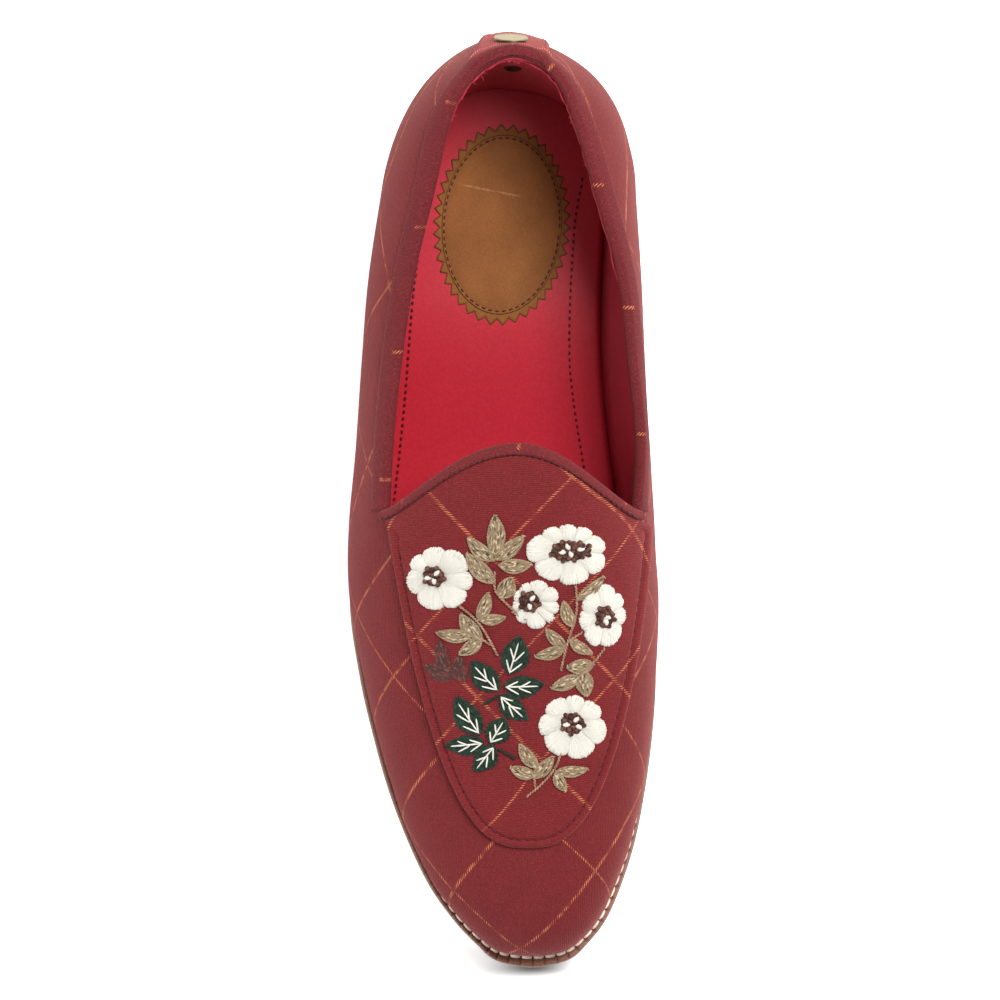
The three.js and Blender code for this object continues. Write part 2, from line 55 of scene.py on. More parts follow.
# %% Sizes of the last
TOE_Y, CORNER_Y, HEEL_Y = -142.5, -2.0, 100.0  # toe tip, throat corners, centre of the heel's curve
HEEL_BACK, HEEL_POWER = 45.7, 1.8
COLLAR_X, COLLAR_BACK, COLLAR_BACK_Z, COLLAR_POWER = 6.0, 37.2, 86.5, 0.6
GAP, WALL, OUTSOLE, WELT, INSOLE = 0.3, 2.2, 4.0, 3.0, 4.3
TREAD_FRONT, TREAD_BACK, BREAST_Y = -75.0, -40.0, 68.0
TOE_SPRING, SPRING_RUN, SPRING_POWER, ARCH_BEND = 11.5, 72.0, 1.7, 1.4
HEEL_SEAT, TOP_LIFT, HEEL_TAPER = 17.5, 6.0, 1.6
FEATHER = OUTSOLE + WELT + 2 * GAP
VAMP_POWER, TUCK_POWER = 2.3, 1.6
THROAT_X, THROAT_Y, THROAT_POWER = 7.0, 18.2, 1.43

LAST = {  # crest and widest line of the upper, seen from above
    "y": [TOE_Y, -141, -138, -131, -120, -107, -92, -75, -54, -30, -5, 20, 45, 72, HEEL_Y],
    "ridge": [10, 10, 9.9, 9.6, 9, 8.3, 7.5, 6.8, 6.3, 6.4, 6.8, 6.6, 5.5, 4.4, 3.1],
    "lat": [10, -0.6, -5.2, -12.7, -21, -27.8, -33.7, -38.6, -43.4, -47.2, -47.2, -45.1, -43, -40.7, -36.4],
    "med": [10, 20.2, 24.7, 30.9, 36.2, 41, 44.5, 47.2, 48.8, 49.2, 48.3, 46.9, 45.7, 44.5, 42.6],
}
FOOT = {  # sole edge beyond the widest line, feather line inside it, widest line above the feather
    "y": [TOE_Y, -141, -138, -131, -120, -107, -75, -54, -30, -5, 20, 45, 72, HEEL_Y],
    "edge_lat": [4.6, 4.1, 3.4, 3.0, 2.8, 2.5, 2.6, 2.6, 1.8, -0.6, -3.4, -5.5, -5, -4],
    "edge_med": [4.6, 3.8, 3.0, 2.5, 2.1, 1.4, 0.5, 0.2, -1.5, -5.8, -9, -10.5, -9, -5.5],
    "tuck_lat": [1.2, 1.2, 1.3, 1.5, 1.8, 2.2, 3, 3.2, 3.6, 5, 6.2, 7, 6.5, 5.5],
    "tuck_med": [1.2, 1.2, 1.3, 1.5, 1.8, 2, 2.8, 3.2, 4.8, 8.6, 11, 12, 10.5, 7],
    "rise_lat": [7, 7.2, 7.8, 9, 11, 12, 13.5, 14, 14, 14, 14, 14, 14, 15],
    "rise_med": [7, 7.2, 7.8, 9, 11, 12, 13.5, 14, 15, 18, 22, 24, 22, 17],
}
BACK_FOOT = {"edge": -3.6, "tuck": 5.2, "rise": 17}
TOE_CREST = TOE_SPRING * ((TREAD_FRONT - TOE_Y) / SPRING_RUN) ** SPRING_POWER + FEATHER + 7
CREST = {
    "y": [TOE_Y, -141, -138, -131, -120, -107, -92, -75, -54, -30, -5, 20, 45],
    "z": [TOE_CREST, 30.6, 34.6, 39.2, 42.2, 44.4, 46.8, 50.8, 57.2, 66, 75.5, 83, 88],
}
COLLAR = {
    "y": [CORNER_Y, 20, 45, 72, HEEL_Y],
    "lat": [-35.3, -34, -31, -26.4, -19],
    "med": [43.8, 45.2, 42.6, 39.2, 31],
}
print("stations along the last:", len(LAST["y"]))


# %% Reading the tables
def lerp(a, b, f):
    """a where f is 0, b where it is 1: a + (b - a) f."""
    return a + (b - a) * f


def bell(d, at, width):
    """Bell round a place: exp(-((d - at) / width) ** 2)."""
    return np.exp(-((d - at) / width) ** 2)


def xy(points):
    """First two coordinates of an array of points."""
    return points[..., 0], points[..., 1]


def with_height(plan, z):
    """Points in space from points in plan."""
    return np.concatenate([plan, np.broadcast_to(z, plan.shape[:-1])[..., None]], -1)


def unit(vectors):
    """Vectors divided by their lengths."""
    return vectors / np.maximum(np.linalg.norm(vectors, axis=-1, keepdims=True), 1e-9)


def along(y):
    """Reading scale of the tables: the square root of the distance from the toe keeps the toe round."""
    return np.sqrt(np.maximum(0.0, np.asarray(y, float) - TOE_Y))


def read(table, column, y):
    """Smooth curve through one column: cubic Hermite pieces whose slopes are averaged at each row."""
    at, value = along(table["y"]), np.asarray(table[column], float)
    place = np.clip(along(y), at[0], at[-1])
    i = np.clip(np.searchsorted(at, place) - 1, 0, len(at) - 2)
    step = np.diff(at)
    rise = np.diff(value) / step
    middle = (rise[:-1] * step[1:] + rise[1:] * step[:-1]) / (step[:-1] + step[1:])
    slope = np.concatenate([rise[:1], middle, rise[-1:]])
    f = (place - at[i]) / step[i]
    ends = value[i] * (1 + 2 * f) * (1 - f) ** 2 + value[i + 1] * f * f * (3 - 2 * f)
    return ends + step[i] * f * (1 - f) * (slope[i] * (1 - f) - slope[i + 1] * f)


def pick(table, medial, y, prefix=""):
    """Value of a table's medial or lateral column, whichever side a point is on."""
    return np.where(medial, read(table, prefix + "med", y), read(table, prefix + "lat", y))


def sole_bottom(y):
    """Underside of the outsole: a power curve up to the toe, flat at the ball, half a cosine to the heel."""
    toe = TOE_SPRING * (np.maximum(TREAD_FRONT - y, 0) / SPRING_RUN) ** SPRING_POWER
    arch = np.clip((y - TREAD_BACK) / (BREAST_Y - TREAD_BACK), 0, 1) ** ARCH_BEND
    return toe + HEEL_SEAT * (0.5 - 0.5 * np.cos(np.pi * arch))


def vamp_height(x, y):
    """Vamp: superellipse sections, low + (crest - low) * sqrt(1 - share ** power)."""
    ridge = read(LAST, "ridge", y)
    medial = x >= ridge
    half = np.abs(pick(LAST, medial, y) - ridge)
    share = np.clip(np.abs(x - ridge) / np.maximum(half, 1e-6), 0, 1)
    low = sole_bottom(y) + FEATHER + pick(FOOT, medial, y, "rise_")
    return low + (read(CREST, "z", y) - low) * np.sqrt(1 - share ** VAMP_POWER)


print("crest at the throat:", round(float(vamp_height(THROAT_X, THROAT_Y)), 1), "mm")

# %% [markdown]
# ## Going round the shoe
# A place round the shoe is one number, `u`: 0 at the toe, 1 at the medial throat corner, 3 at the back
# of the heel, 5 at the lateral corner and 6 at the toe again. All lines of the shoe are functions of it.

# %% Lines round the shoe
def split(u):
    """Place u as a distance 0..3 from the toe, and whether it is on the medial side."""
    u = np.mod(u, 6.0)
    return np.minimum(u, 6.0 - u), u <= 3.0


def station_y(v):
    """Length along the shoe: v squared on the vamp, even steps on the quarter."""
    quarter = lerp(CORNER_Y, HEEL_Y, np.clip(v, 1, 2) - 1)
    return np.where(v <= 1, TOE_Y + (CORNER_Y - TOE_Y) * v * v, quarter)


def back_share(v):
    """From 0 at the heel centre to 1 at the very back: a squared sine."""
    return np.sin(np.clip(v - 2, 0, 1) * np.pi / 2) ** 2


print("the back of the heel is place 3, at y", HEEL_Y + HEEL_BACK)


# %% Outlines in plan
def heel_arc(v, medial, table, middle, back):
    """Back of an outline: a superellipse that goes on from the table's slope at the heel centre."""
    angle = np.clip(v - 2, 0, 1) * np.pi / 2
    start = pick(table, medial, HEEL_Y)
    slope = start - pick(table, medial, HEEL_Y - 1)
    share = np.sin(angle) ** (2 / HEEL_POWER)
    x = lerp(middle, start, np.abs(np.cos(angle)) ** (2 / HEEL_POWER))
    return np.stack([x + slope * back * share * (1 - share) ** 2, HEEL_Y + back * share], -1)


def side_line(v, medial, table):
    """A table's outline up to the heel's centre."""
    return np.stack([pick(table, medial, station_y(v)), station_y(v)], -1)


def widest(u):
    """Widest line of the upper in plan."""
    v, medial = split(u)
    heel = heel_arc(v, medial, LAST, LAST["ridge"][-1], HEEL_BACK)
    return np.where((v > 2)[..., None], heel, side_line(v, medial, LAST))


def right_of(way):
    """Directions in plan turned a quarter to the right."""
    return np.stack([way[..., 1], -way[..., 0]], -1)


def outward(u):
    """Outward normal of the widest line in plan."""
    return right_of(unit(widest(u + 0.004) - widest(u - 0.004)))


def arch_point(f):
    """Throat arch: f from -1 at the lateral corner to 1 at the medial, (1 - f * f) ** power in between."""
    end = np.where(f > 0, COLLAR["med"][0], COLLAR["lat"][0])
    swell = np.maximum(0, 1 - f * f) ** THROAT_POWER
    return np.stack([lerp(THROAT_X, end, np.abs(f)), lerp(CORNER_Y, THROAT_Y, swell)], -1)


ROUNDER_MEDIAL, ROUNDER_LATERAL = (1.3, 2.62, 0.2), (1.5, 2.45, 0.33)  # how much, where, how wide


def top_line(u):
    """Upper edge in plan: throat arch on the vamp, collar line on the quarters, a little rounder behind."""
    v, medial = split(u)
    arch = arch_point(np.clip(v, 0, 1) * np.where(medial, 1, -1))
    heel = heel_arc(v, medial, COLLAR, COLLAR_X, COLLAR_BACK)
    line = np.where((v > 2)[..., None], heel, side_line(v, medial, COLLAR))
    line = np.where((v < 1)[..., None], arch, line)
    rounder = [most * bell(v, at, width) for most, at, width in (ROUNDER_MEDIAL, ROUNDER_LATERAL)]
    return line + np.where(medial, *rounder)[..., None] * outward(u)


def foot_value(name, u):
    """A column of the foot's table, blended into its value at the very back."""
    v, medial = split(u)
    y = np.minimum(station_y(v), HEEL_Y)
    return lerp(pick(FOOT, medial, y, name + "_"), BACK_FOOT[name], back_share(v))


def beside(u, distance):
    """Points at a distance outside the widest line: line + normal * distance."""
    return widest(u) + outward(u) * np.asarray(distance)[..., None]


widths = np.ptp(widest(np.linspace(0, 6, 601)), axis=0)
print("upper:", round(float(widths[0]), 1), "mm wide,", round(float(widths[1]), 1), "mm long")

# %% Height of the collar
COLLAR_RISE = {"lat": [60.5, 64, 69.5, 77.5], "med": [57.5, 62.5, 69, 77.5]}  # behind the throat corner
for side, heights in COLLAR_RISE.items():
    COLLAR["z_" + side] = [float(vamp_height(COLLAR[side][0], CORNER_Y))] + heights


def collar_height(u):
    """Height of the collar: its table's, blended into the height at the back."""
    v, medial = split(u)
    side = pick(COLLAR, medial, np.minimum(station_y(v), HEEL_Y), "z_")
    return lerp(side, COLLAR_BACK_Z, back_share(v) ** COLLAR_POWER)


print("collar at the back:", float(collar_height(3.0)), "mm")

# %% [markdown]
# ## The wall of the upper
# Ribs run from the widest line up to the throat or the collar. On the vamp they lie on the superellipse
# sections; on the quarters the same curve is stretched between the widest line and the collar. Under
# the widest line the wall pulls in to the feather line, where it meets the welt.

# %% Surface of the upper
def wall(u, s):
    """Outer surface: s is 0 on the widest line and 1 at the upper edge."""
    v, _ = split(u)
    foot, top = widest(u), top_line(u)
    at = lerp(foot, top, np.asarray(s)[..., None])
    y = np.minimum(station_y(v), HEEL_Y)
    middle = np.stack([read(LAST, "ridge", y), y], -1)
    reach_top, reach_foot = (np.linalg.norm(p - middle, axis=-1) for p in (top, foot))
    end = np.clip(reach_top / np.maximum(reach_foot, 1e-6), 0, 0.995)
    low = sole_bottom(foot[..., 1]) + FEATHER + foot_value("rise", u)
    grown = np.sqrt((1 - lerp(1, end, s) ** VAMP_POWER) / (1 - end ** VAMP_POWER))
    quarter = low + (collar_height(u) - low) * grown
    return with_height(at, np.where(v <= 1, vamp_height(*xy(at)), quarter))


def tuck(u, h):
    """Outer surface under the widest line: h is 0 on the feather line and 1 on the widest line."""
    feather, high = beside(u, -foot_value("tuck", u)), wall(u, np.zeros_like(u))
    at = lerp(feather, high[..., :2], (1 - (1 - h) ** TUCK_POWER)[..., None])
    return with_height(at, lerp(sole_bottom(at[..., 1]) + FEATHER, high[..., 2], h))


def rib_length(u):
    """Length of the rib from the widest line to the edge, from its last few hundredths."""
    part = 0.06
    last = wall(u, np.full(len(u), 1.0)) - wall(u, np.full(len(u), 1 - part))
    return np.linalg.norm(last, axis=-1)[:, None] / part


def vamp_place(plan, height):
    """Points at a height over the vamp and the surface's normals there, from finite differences."""
    step = 0.5
    x, y = xy(np.asarray(plan, float))
    dx = (vamp_height(x + step, y) - vamp_height(x - step, y)) / (2 * step)
    dy = (vamp_height(x, y + step) - vamp_height(x, y - step)) / (2 * step)
    normal = unit(np.stack([-dx, -dy, np.ones_like(dx)], -1))
    point = np.stack([x, y, vamp_height(x, y)], -1)
    return point + normal * np.asarray(height)[..., None], normal


print("longest rib at the heel:", rib_length(np.array([3.0])).round(1).item(), "mm")

# %% [markdown]
# ## From arrays to meshes
# A surface is an array of points in rows and columns. Its faces are the quads between neighbours, its
# UV map holds lengths on the cloth in millimetres, and its normals point outwards because the sign of
# the enclosed volume is tested.

# %% Measures of lines and grids
def run_along(line):
    """Length along an open line up to each of its points."""
    return np.concatenate([[0], np.cumsum(np.linalg.norm(np.diff(line, axis=0), axis=-1))])


def run_round(line):
    """Length along a closed line up to each of its points, and its whole length."""
    run = run_along(np.concatenate([line, line[:1]]))
    return run[:-1], run[-1]


def even_places(line, pitch):
    """Points at even steps along an open line, read off its length."""
    run = run_along(line)
    at = np.arange(0, run[-1], pitch)
    return np.stack([np.interp(at, run, line[:, k]) for k in range(line.shape[1])], -1)


def oval(angle, half_x=1.0, half_y=1.0):
    """Points round an oval: (half_x cos, half_y sin)."""
    return np.stack([half_x * np.cos(angle), half_y * np.sin(angle)], -1)


def rotated(plan, angle):
    """Plan turned about the origin: (x cos - y sin, x sin + y cos)."""
    x, y = xy(plan)
    return np.stack([x * np.cos(angle) - y * np.sin(angle), x * np.sin(angle) + y * np.cos(angle)], -1)


def surface_normals(points, wrap=False):
    """Normals of a grid of points, from the cross product of its two central differences."""
    if wrap:
        down = np.roll(points, -1, 0) - np.roll(points, 1, 0)
    else:
        down = np.gradient(points, axis=0)
    return unit(np.cross(down, np.gradient(points, axis=1)))


print("the toe tip's normal in plan:", outward(np.array([0.0]))[0].round(2))

# %% Mesh helpers
def grid_quads(rows, columns, wrap_rows=False, wrap_columns=False):
    """Quads of a grid of points numbered row by row."""
    r = np.arange(rows if wrap_rows else rows - 1)[:, None] * columns
    c = np.arange(columns if wrap_columns else columns - 1)[None, :]
    r2, c2 = (r + columns) % (rows * columns), (c + 1) % columns
    return np.stack([r + c, r + c2, r2 + c2, r2 + c], -1).reshape(-1, 4)


def fan(hub, ring):
    """Triangles from one point to a closed ring of points."""
    ring = np.asarray(ring)
    return np.stack([np.full(len(ring), hub), ring, np.roll(ring, -1)], -1)


def enclosed(points, faces):
    """Signed volume of a closed mesh: a sixth of the sum of a . (b x c) over its triangles."""
    tris = [f[:, [0, i, i + 1]] for f in faces for i in range(1, f.shape[1] - 1)]
    a, b, c = (points[np.concatenate(tris)[:, k]] for k in range(3))
    return np.einsum("ij,ij->", a, np.cross(b, c)) / 6


def solid(name, points, faces, material, uv=None, replaces=(), extra=None):
    """Makes one closed piece from points in millimetres; faces is a list of arrays of quads or triangles."""
    points = np.asarray(points, float).reshape(-1, 3)
    faces = [np.asarray(f) for f in faces if len(f)]
    if enclosed(points, faces) < 0:
        faces = [f[:, ::-1] for f in faces]
    mesh = bpy.data.meshes.new(name)
    corners = np.concatenate([f.ravel() for f in faces])
    sizes = np.concatenate([np.full(len(f), f.shape[1]) for f in faces])
    mesh.vertices.add(len(points))
    mesh.vertices.foreach_set("co", (points * MM).ravel())
    mesh.loops.add(len(corners))
    mesh.loops.foreach_set("vertex_index", corners)
    mesh.polygons.add(len(sizes))
    mesh.polygons.foreach_set("loop_start", np.cumsum(sizes) - sizes)
    mesh.polygons.foreach_set("use_smooth", np.ones(len(sizes), bool))
    if uv is not None:
        layer = mesh.uv_layers.new(name="cloth")
        layer.uv.foreach_set("vector", np.asarray(uv, float).reshape(-1, 2)[corners].ravel())
    for key, values in (extra or {}).items():
        kind, field = ("FLOAT", "value") if np.ndim(values) == 1 else ("FLOAT_VECTOR", "vector")
        mesh.attributes.new(key, kind, "POINT").data.foreach_set(field, np.asarray(values, float).ravel())
    mesh.update(calc_edges=True)
    mesh.validate()
    piece = bpy.data.objects.new(name, mesh)
    bpy.context.scene.collection.objects.link(piece)
    mesh.materials.append(material)
    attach(piece, "root")
    if replaces:
        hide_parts(*replaces)
    print(f"{name}: {len(points)} points, {int((sizes - 2).sum())} triangles")


# %% Joining and closing
def joined(name, parts, material):
    """One piece from many: points and UVs in a row, face numbers shifted by the points before."""
    points, faces, uvs = zip(*parts)
    starts = np.cumsum([0] + [len(p) for p in points])
    shifted = [f + start for part, start in zip(faces, starts) for f in part]
    solid(name, np.concatenate(points), shifted, material, np.concatenate(uvs))


def capped(rings, hubs=None):
    """Rings of points closed by a fan at each end, round two hubs or the middles of the end rings."""
    levels, count = rings.shape[:2]
    hubs = rings[[0, -1]].mean(1) if hubs is None else hubs
    faces = [grid_quads(levels, count, False, True), fan(levels * count, np.arange(count))[:, ::-1],
             fan(levels * count + 1, (levels - 1) * count + np.arange(count))]
    return np.concatenate([rings.reshape(-1, 3), hubs]), faces


def with_hubs(uv, *hubs):
    """UVs of rings with those of the two hubs behind them."""
    return np.concatenate([uv.reshape(-1, 2), hubs])

# %% [markdown]
# ## Camera and light
# The shoe is seen from almost straight above, from far away with a long lens, toe towards the viewer.
# The camera stands a little to the medial side. The key is a broad lamp high over the heel's medial
# side, so that the heel's inside falls into shade on that side and the sock stays bright. Low lamps at
# both sides and at the toe, and the bright floor, light the walls, whose nap glows where they turn away.

# %% Studio
CAMERA = Vector((52.75, 2.2, 1700.0)) * MM
AIM = Vector((0.0, 1.35, 30.0)) * MM
LENS, SENSOR = 191.25, 36  # millimetres: they take in 320 mm of floor
FAR_END = 20  # metres that the camera sees
ROOM_LIGHT = 0.2


def aimed(name, data, place):
    """Puts a camera or lamp at a place, looking at the shoe, with the heel at its picture's top."""
    made = bpy.data.objects.new(name, data)
    back = (place - AIM).normalized()
    right = Vector((0, 1, 0)).cross(back).normalized()
    top = back.cross(right)
    made.matrix_world = Matrix([(right[i], top[i], back[i], place[i]) for i in range(3)] + [(0, 0, 0, 1)])
    bpy.context.scene.collection.objects.link(made)
    return made


camera = aimed("camera", bpy.data.cameras.new("camera"), CAMERA)
camera.data.lens = LENS
camera.data.sensor_width = SENSOR
camera.data.clip_end = FAR_END
bpy.context.scene.camera = camera

LAMPS = {  # place and size in metres, power in watts
    "key": ((0.6, 0.55, 1.55), 0.8, 40),
    "top": ((-0.15, 0.1, 2.3), 2.4, 5),
    "lateral_fill": ((-1.6, 0.1, 0.6), 1.2, 13),
    "medial_fill": ((1.8, -0.1, 0.5), 1.2, 6),
    "toe_fill": ((-1.2, -1.3, 0.5), 1.2, 10),
}
for name, (place, size, watts) in LAMPS.items():
    data = bpy.data.lights.new(name, "AREA")
    data.size = size
    data.energy = watts
    aimed(name, data, Vector(place))

world = bpy.data.worlds.new("studio")
world.use_nodes = True
world.node_tree.nodes["Background"].inputs["Color"].default_value = (1, 1, 1, 1)
world.node_tree.nodes["Background"].inputs["Strength"].default_value = ROOM_LIGHT
bpy.context.scene.world = world
bpy.context.scene.view_settings.view_transform = "Standard"
print("camera at", [round(c, 3) for c in CAMERA], "lens", LENS, "mm")

# %% [markdown]
# ## Node graphs in few words
# One helper adds a node, fills its sockets in order and returns its output, so that a graph reads like
# a formula. Effects that several materials share are groups with named inputs and outputs.

# %% Node helpers
def colour(red, green, blue):
    """A colour given as it shows on a screen, 0 to 255, as the linear values that a shader takes."""
    c = np.array([red, green, blue]) / 255
    return (*np.where(c <= 0.04045, c / 12.92, ((c + 0.055) / 1.055) ** 2.4).tolist(), 1.0)


def fill(socket, value):
    """Links a socket, or sets its plain value; three numbers for a colour are as it shows on a screen."""
    if isinstance(value, bpy.types.NodeSocket):
        socket.id_data.links.new(value, socket)
    elif value is not None:
        on_screen = socket.type == "RGBA" and len(value) == 3
        socket.default_value = colour(*value) if on_screen else value


def node(kind, *inputs, tree=None, out=0, **settings):
    """Adds a node to the tree of its first linked input; inputs are values or sockets in socket order."""
    tree = tree or next(value.id_data for value in inputs if isinstance(value, bpy.types.NodeSocket))
    made = tree.nodes.new("ShaderNode" + kind)
    for key, value in settings.items():
        setattr(made, key, value)
    for socket, value in zip(made.inputs, inputs):
        fill(socket, value)
    return made.outputs[out]


print("a mid grey of 128 is", round(colour(128, 128, 128)[0], 3), "in the shader")


# %% Arithmetic on sockets
def maths(operation, *inputs):
    """One step of arithmetic on sockets and numbers."""
    return node("Math", *inputs, operation=operation)


def plus(a, b):
    """a + b."""
    return maths("ADD", a, b)


def minus(a, b):
    """a - b."""
    return maths("SUBTRACT", a, b)


def times(a, *others):
    """Product of two or more values."""
    for b in others:
        a = maths("MULTIPLY", a, b)
    return a


def linear(value, slope, start):
    """value * slope + start."""
    return maths("MULTIPLY_ADD", value, slope, start)


def within(value, middle, half, soft_in, soft_out):
    """1 where a value lies less than half a width from the middle, with a soft edge."""
    off = maths("ABSOLUTE", minus(value, middle))
    return ramp(minus(off, half), -soft_in, soft_out, 1.0, 0.0)


def axes(vector):
    """The three coordinates of a vector."""
    return node("SeparateXYZ", vector).node.outputs


def tagged(tree, attribute, out=2):
    """Values written on a piece's points under a name: 2 reads a number, 1 a vector."""
    return node("Attribute", tree=tree, attribute_name=attribute, out=out)


def mix(factor, a, b):
    """Colour a where the factor is 0, colour b where it is 1."""
    return node("Mix", factor, None, None, None, None, None, a, b, out=2, data_type="RGBA")


def ramp(value, low, high, to_low=0.0, to_high=1.0):
    """Smooth step of a value from low to high."""
    return node("MapRange", value, low, high, to_low, to_high, interpolation_type="SMOOTHSTEP")


def noise(vector, scale, detail=2.0, roughness=0.5):
    """Clouds of noise; three scales draw it out along the axes."""
    if np.ndim(scale):
        vector, scale = node("VectorMath", vector, scale, operation="MULTIPLY"), 1.0
    return node("TexNoise", vector, None, scale, detail, roughness)


# %% Groups and materials
def group(name, inputs, outputs):
    """Starts a node group; inputs are (name, type, default), outputs (name, type)."""
    tree = bpy.data.node_groups.new(name, "ShaderNodeTree")
    for title, kind, default in inputs:
        socket = tree.interface.new_socket(title, in_out="INPUT", socket_type="NodeSocket" + kind)
        socket.default_value = colour(*default) if kind == "Color" else default
    for title, kind in outputs:
        tree.interface.new_socket(title, in_out="OUTPUT", socket_type="NodeSocket" + kind)
    return tree, tree.nodes.new("NodeGroupInput").outputs, tree.nodes.new("NodeGroupOutput").inputs


def use(tree, group_tree, **inputs):
    """Places a group in a material; underscores in the names stand for spaces."""
    made = tree.nodes.new("ShaderNodeGroup")
    made.node_tree = group_tree
    for key, value in inputs.items():
        fill(made.inputs[key.replace("_", " ")], value)
    return made.outputs


def material(name, shown, height=None, bump=None, strength=1.0, rough=None, **plain):
    """Finishes a material: links colour, height and roughness, and sets the shader's plain values."""
    made = bpy.data.materials[name]
    sockets = made.node_tree.nodes["Principled BSDF"].inputs
    fill(sockets["Base Color"], shown)
    fill(sockets["Roughness"], rough)
    if height is not None:
        bumped = node("Bump", strength, bump, tree=made.node_tree)
        fill(bumped.node.inputs["Height"], height)
        fill(sockets["Normal"], bumped)
    for key, value in plain.items():
        fill(sockets[key.replace("_", " ")], value)
    return made


def new_tree(name):
    """Starts a material and returns its node tree."""
    made = bpy.data.materials.new(name)
    made.use_nodes = True
    return made.node_tree


def cloth_map(tree):
    """The piece's own UV map, lengths on the cloth in millimetres."""
    return node("UVMap", tree=tree, uv_map="cloth")


def object_map(tree):
    """Places on the object in metres."""
    return node("TexCoord", tree=tree, out=3)


# %% [markdown]
# ## The floor
# The floor is matt white paper that glows a little, so that it shows as plain white. Only right in front
# of the toe tip is a soft shadow painted into its colour, under the toe spring: a bell across, times a
# smooth step along, and cut off round about by soft edges so that the rest of the paper stays clean.

# %% Floor
# Painted shadow: the shade under the toe is painted into the paper's colour and glow; the lamps don't cast
# it.
TOE_SHADE_X, TOE_SHADE_WIDE = 0.0093, 0.012  # middle and width of the shade under the toe, in metres
SHADE_FRONT, SHADE_BACK = -0.1522, -0.1484  # it grows from nothing to full along this stretch
AROUND_HALF, AROUND_FRONT, AROUND_BACK = 0.029, (-0.16, -0.154), (-0.144, -0.137)  # soft edges round it
CLIPPED, DEEPEST = 0.16, 0.74  # darkening up to which the lit paper still shows white, and that of the shade
FLOOR_HALF, GLOW = 4.0, 0.75
tree = new_tree("paper")
at = object_map(tree)
speck = noise(at, 40.0, 3.0)
white = mix(speck, (0.93, 0.93, 0.93, 1), (0.96, 0.96, 0.96, 1))
x, y, _ = axes(at)
ratio = maths("DIVIDE", minus(x, TOE_SHADE_X), TOE_SHADE_WIDE)
shade = maths("EXPONENT", times(ratio, ratio, -1.0))
shade = times(shade, ramp(y, SHADE_FRONT, SHADE_BACK))
around = times(within(x, TOE_SHADE_X, AROUND_HALF, 0.005, 0.005),
               ramp(y, *AROUND_FRONT), ramp(y, *AROUND_BACK, 1.0, 0.0))
# The painted shadow darkens the paper's colour and its glow alike.
painted_shadow_mask = times(around, linear(shade, DEEPEST, CLIPPED))
paper_painted_shadow = mix(painted_shadow_mask, white, (0.0, 0.0, 0.0, 1))
paper = material("paper", paper_painted_shadow, Roughness=0.9, Emission_Strength=GLOW)
tree.links.new(paper_painted_shadow, tree.nodes["Principled BSDF"].inputs["Emission Color"])
floor_mesh = bpy.data.meshes.new("floor")
corners = [(x * FLOOR_HALF, y * FLOOR_HALF, 0) for x, y in ((-1, -1), (1, -1), (1, 1), (-1, 1))]
floor_mesh.from_pydata(corners, [], [(0, 1, 2, 3)])
floor_mesh.materials.append(paper)
floor = bpy.data.objects.new("floor", floor_mesh)
bpy.context.scene.collection.objects.link(floor)
print("floor:", 2 * FLOOR_HALF, "m square")

# %% [markdown]
# ## The cloth
# The shoe is cut from a brushed twill: fine diagonal ribs, a short nap that catches light at grazing
# angles, and an orange windowpane check woven in. The check's lines run along warp and weft, and the
# ribs cross them at 45 degrees, so each line shows as a row of short dashes, one for each rib.

# %% Parts of the twill
def turned(vector, angle):
    """First coordinate of a vector after turning it by an angle: x cos + y sin."""
    x, y, _ = axes(vector)
    return plus(times(x, maths("COSINE", angle)), times(y, maths("SINE", angle)))


def wave(value, pitch):
    """0..1 along a value in millimetres: half a sine plus a half."""
    turns = times(maths("DIVIDE", value, pitch), 2 * np.pi)
    return linear(maths("SINE", turns), 0.5, 0.5)


def line_mask(value, pane, shift, width):
    """1 on the lines that lie one pane apart: the distance to the nearest one, softly cut at half a width."""
    place = maths("DIVIDE", minus(value, shift), pane)
    off = times(minus(place, maths("ROUND", place)), pane)
    return within(off, 0.0, times(width, 0.5), 0.2, 0.25)


# %% Twill
TWILL, i, out = group(
    "twill",
    [("Lengths", "Vector", (0, 0, 0)), ("Check", "Vector", (0, 0, 0)), ("Rib Turn", "Float", 0.0),
     ("Rib Pitch", "Float", 0.65), ("Rib Depth", "Float", 0.28), ("Cross Turn", "Float", np.pi / 4),
     ("Pane A", "Float", 35.0), ("Pane B", "Float", 28.0), ("Shift A", "Float", 0.0),
     ("Shift B", "Float", 0.0), ("Line Width", "Float", 1.3), ("Width B", "Float", 1.0),
     ("Line Strength", "Float", 1.0), ("Tick Middle", "Float", 0.0), ("Tick Width", "Float", 10000.0),
     ("Heather", "Float", 0.3),
     ("Cloth", "Color", (122, 41, 43)), ("Shade", "Color", (75, 24, 27)),
     ("Line", "Color", (220, 132, 88))],
    [("Color", "Color"), ("Height", "Float")],
)
t = TWILL
cloudy, wobble, worn, grain, nap = (noise(i["Lengths"], *how) for how in (
    (0.12, 3.0, 0.6), (0.09, 3.0), (0.3, 3.0), (1.9, 3.0, 0.7), (0.75, 2.0, 0.6)))
bend = linear(wobble, 1.6, -0.8)
ribs = wave(plus(turned(i["Lengths"], i["Rib Turn"]), bend), i["Rib Pitch"])
yarns = wave(turned(i["Lengths"], plus(i["Rib Turn"], 1.1)), times(i["Rib Pitch"], 0.62))
aside = node("CombineXYZ", times(bend, 0.25), times(bend, -0.2), 0.0)
bent = node("VectorMath", i["Check"], aside, operation="ADD")
warp = turned(bent, i["Cross Turn"])
weft = turned(bent, minus(i["Cross Turn"], np.pi / 2))
warp_lines = line_mask(warp, i["Pane A"], i["Shift A"], i["Line Width"])
weft_lines = line_mask(weft, i["Pane B"], i["Shift B"], times(i["Line Width"], i["Width B"]))
lines = maths("MAXIMUM", warp_lines, weft_lines)
dashes = ramp(ribs, 0.45, 0.85)
kept = ramp(worn, 0.35, 0.6, 0.15, 1.0)
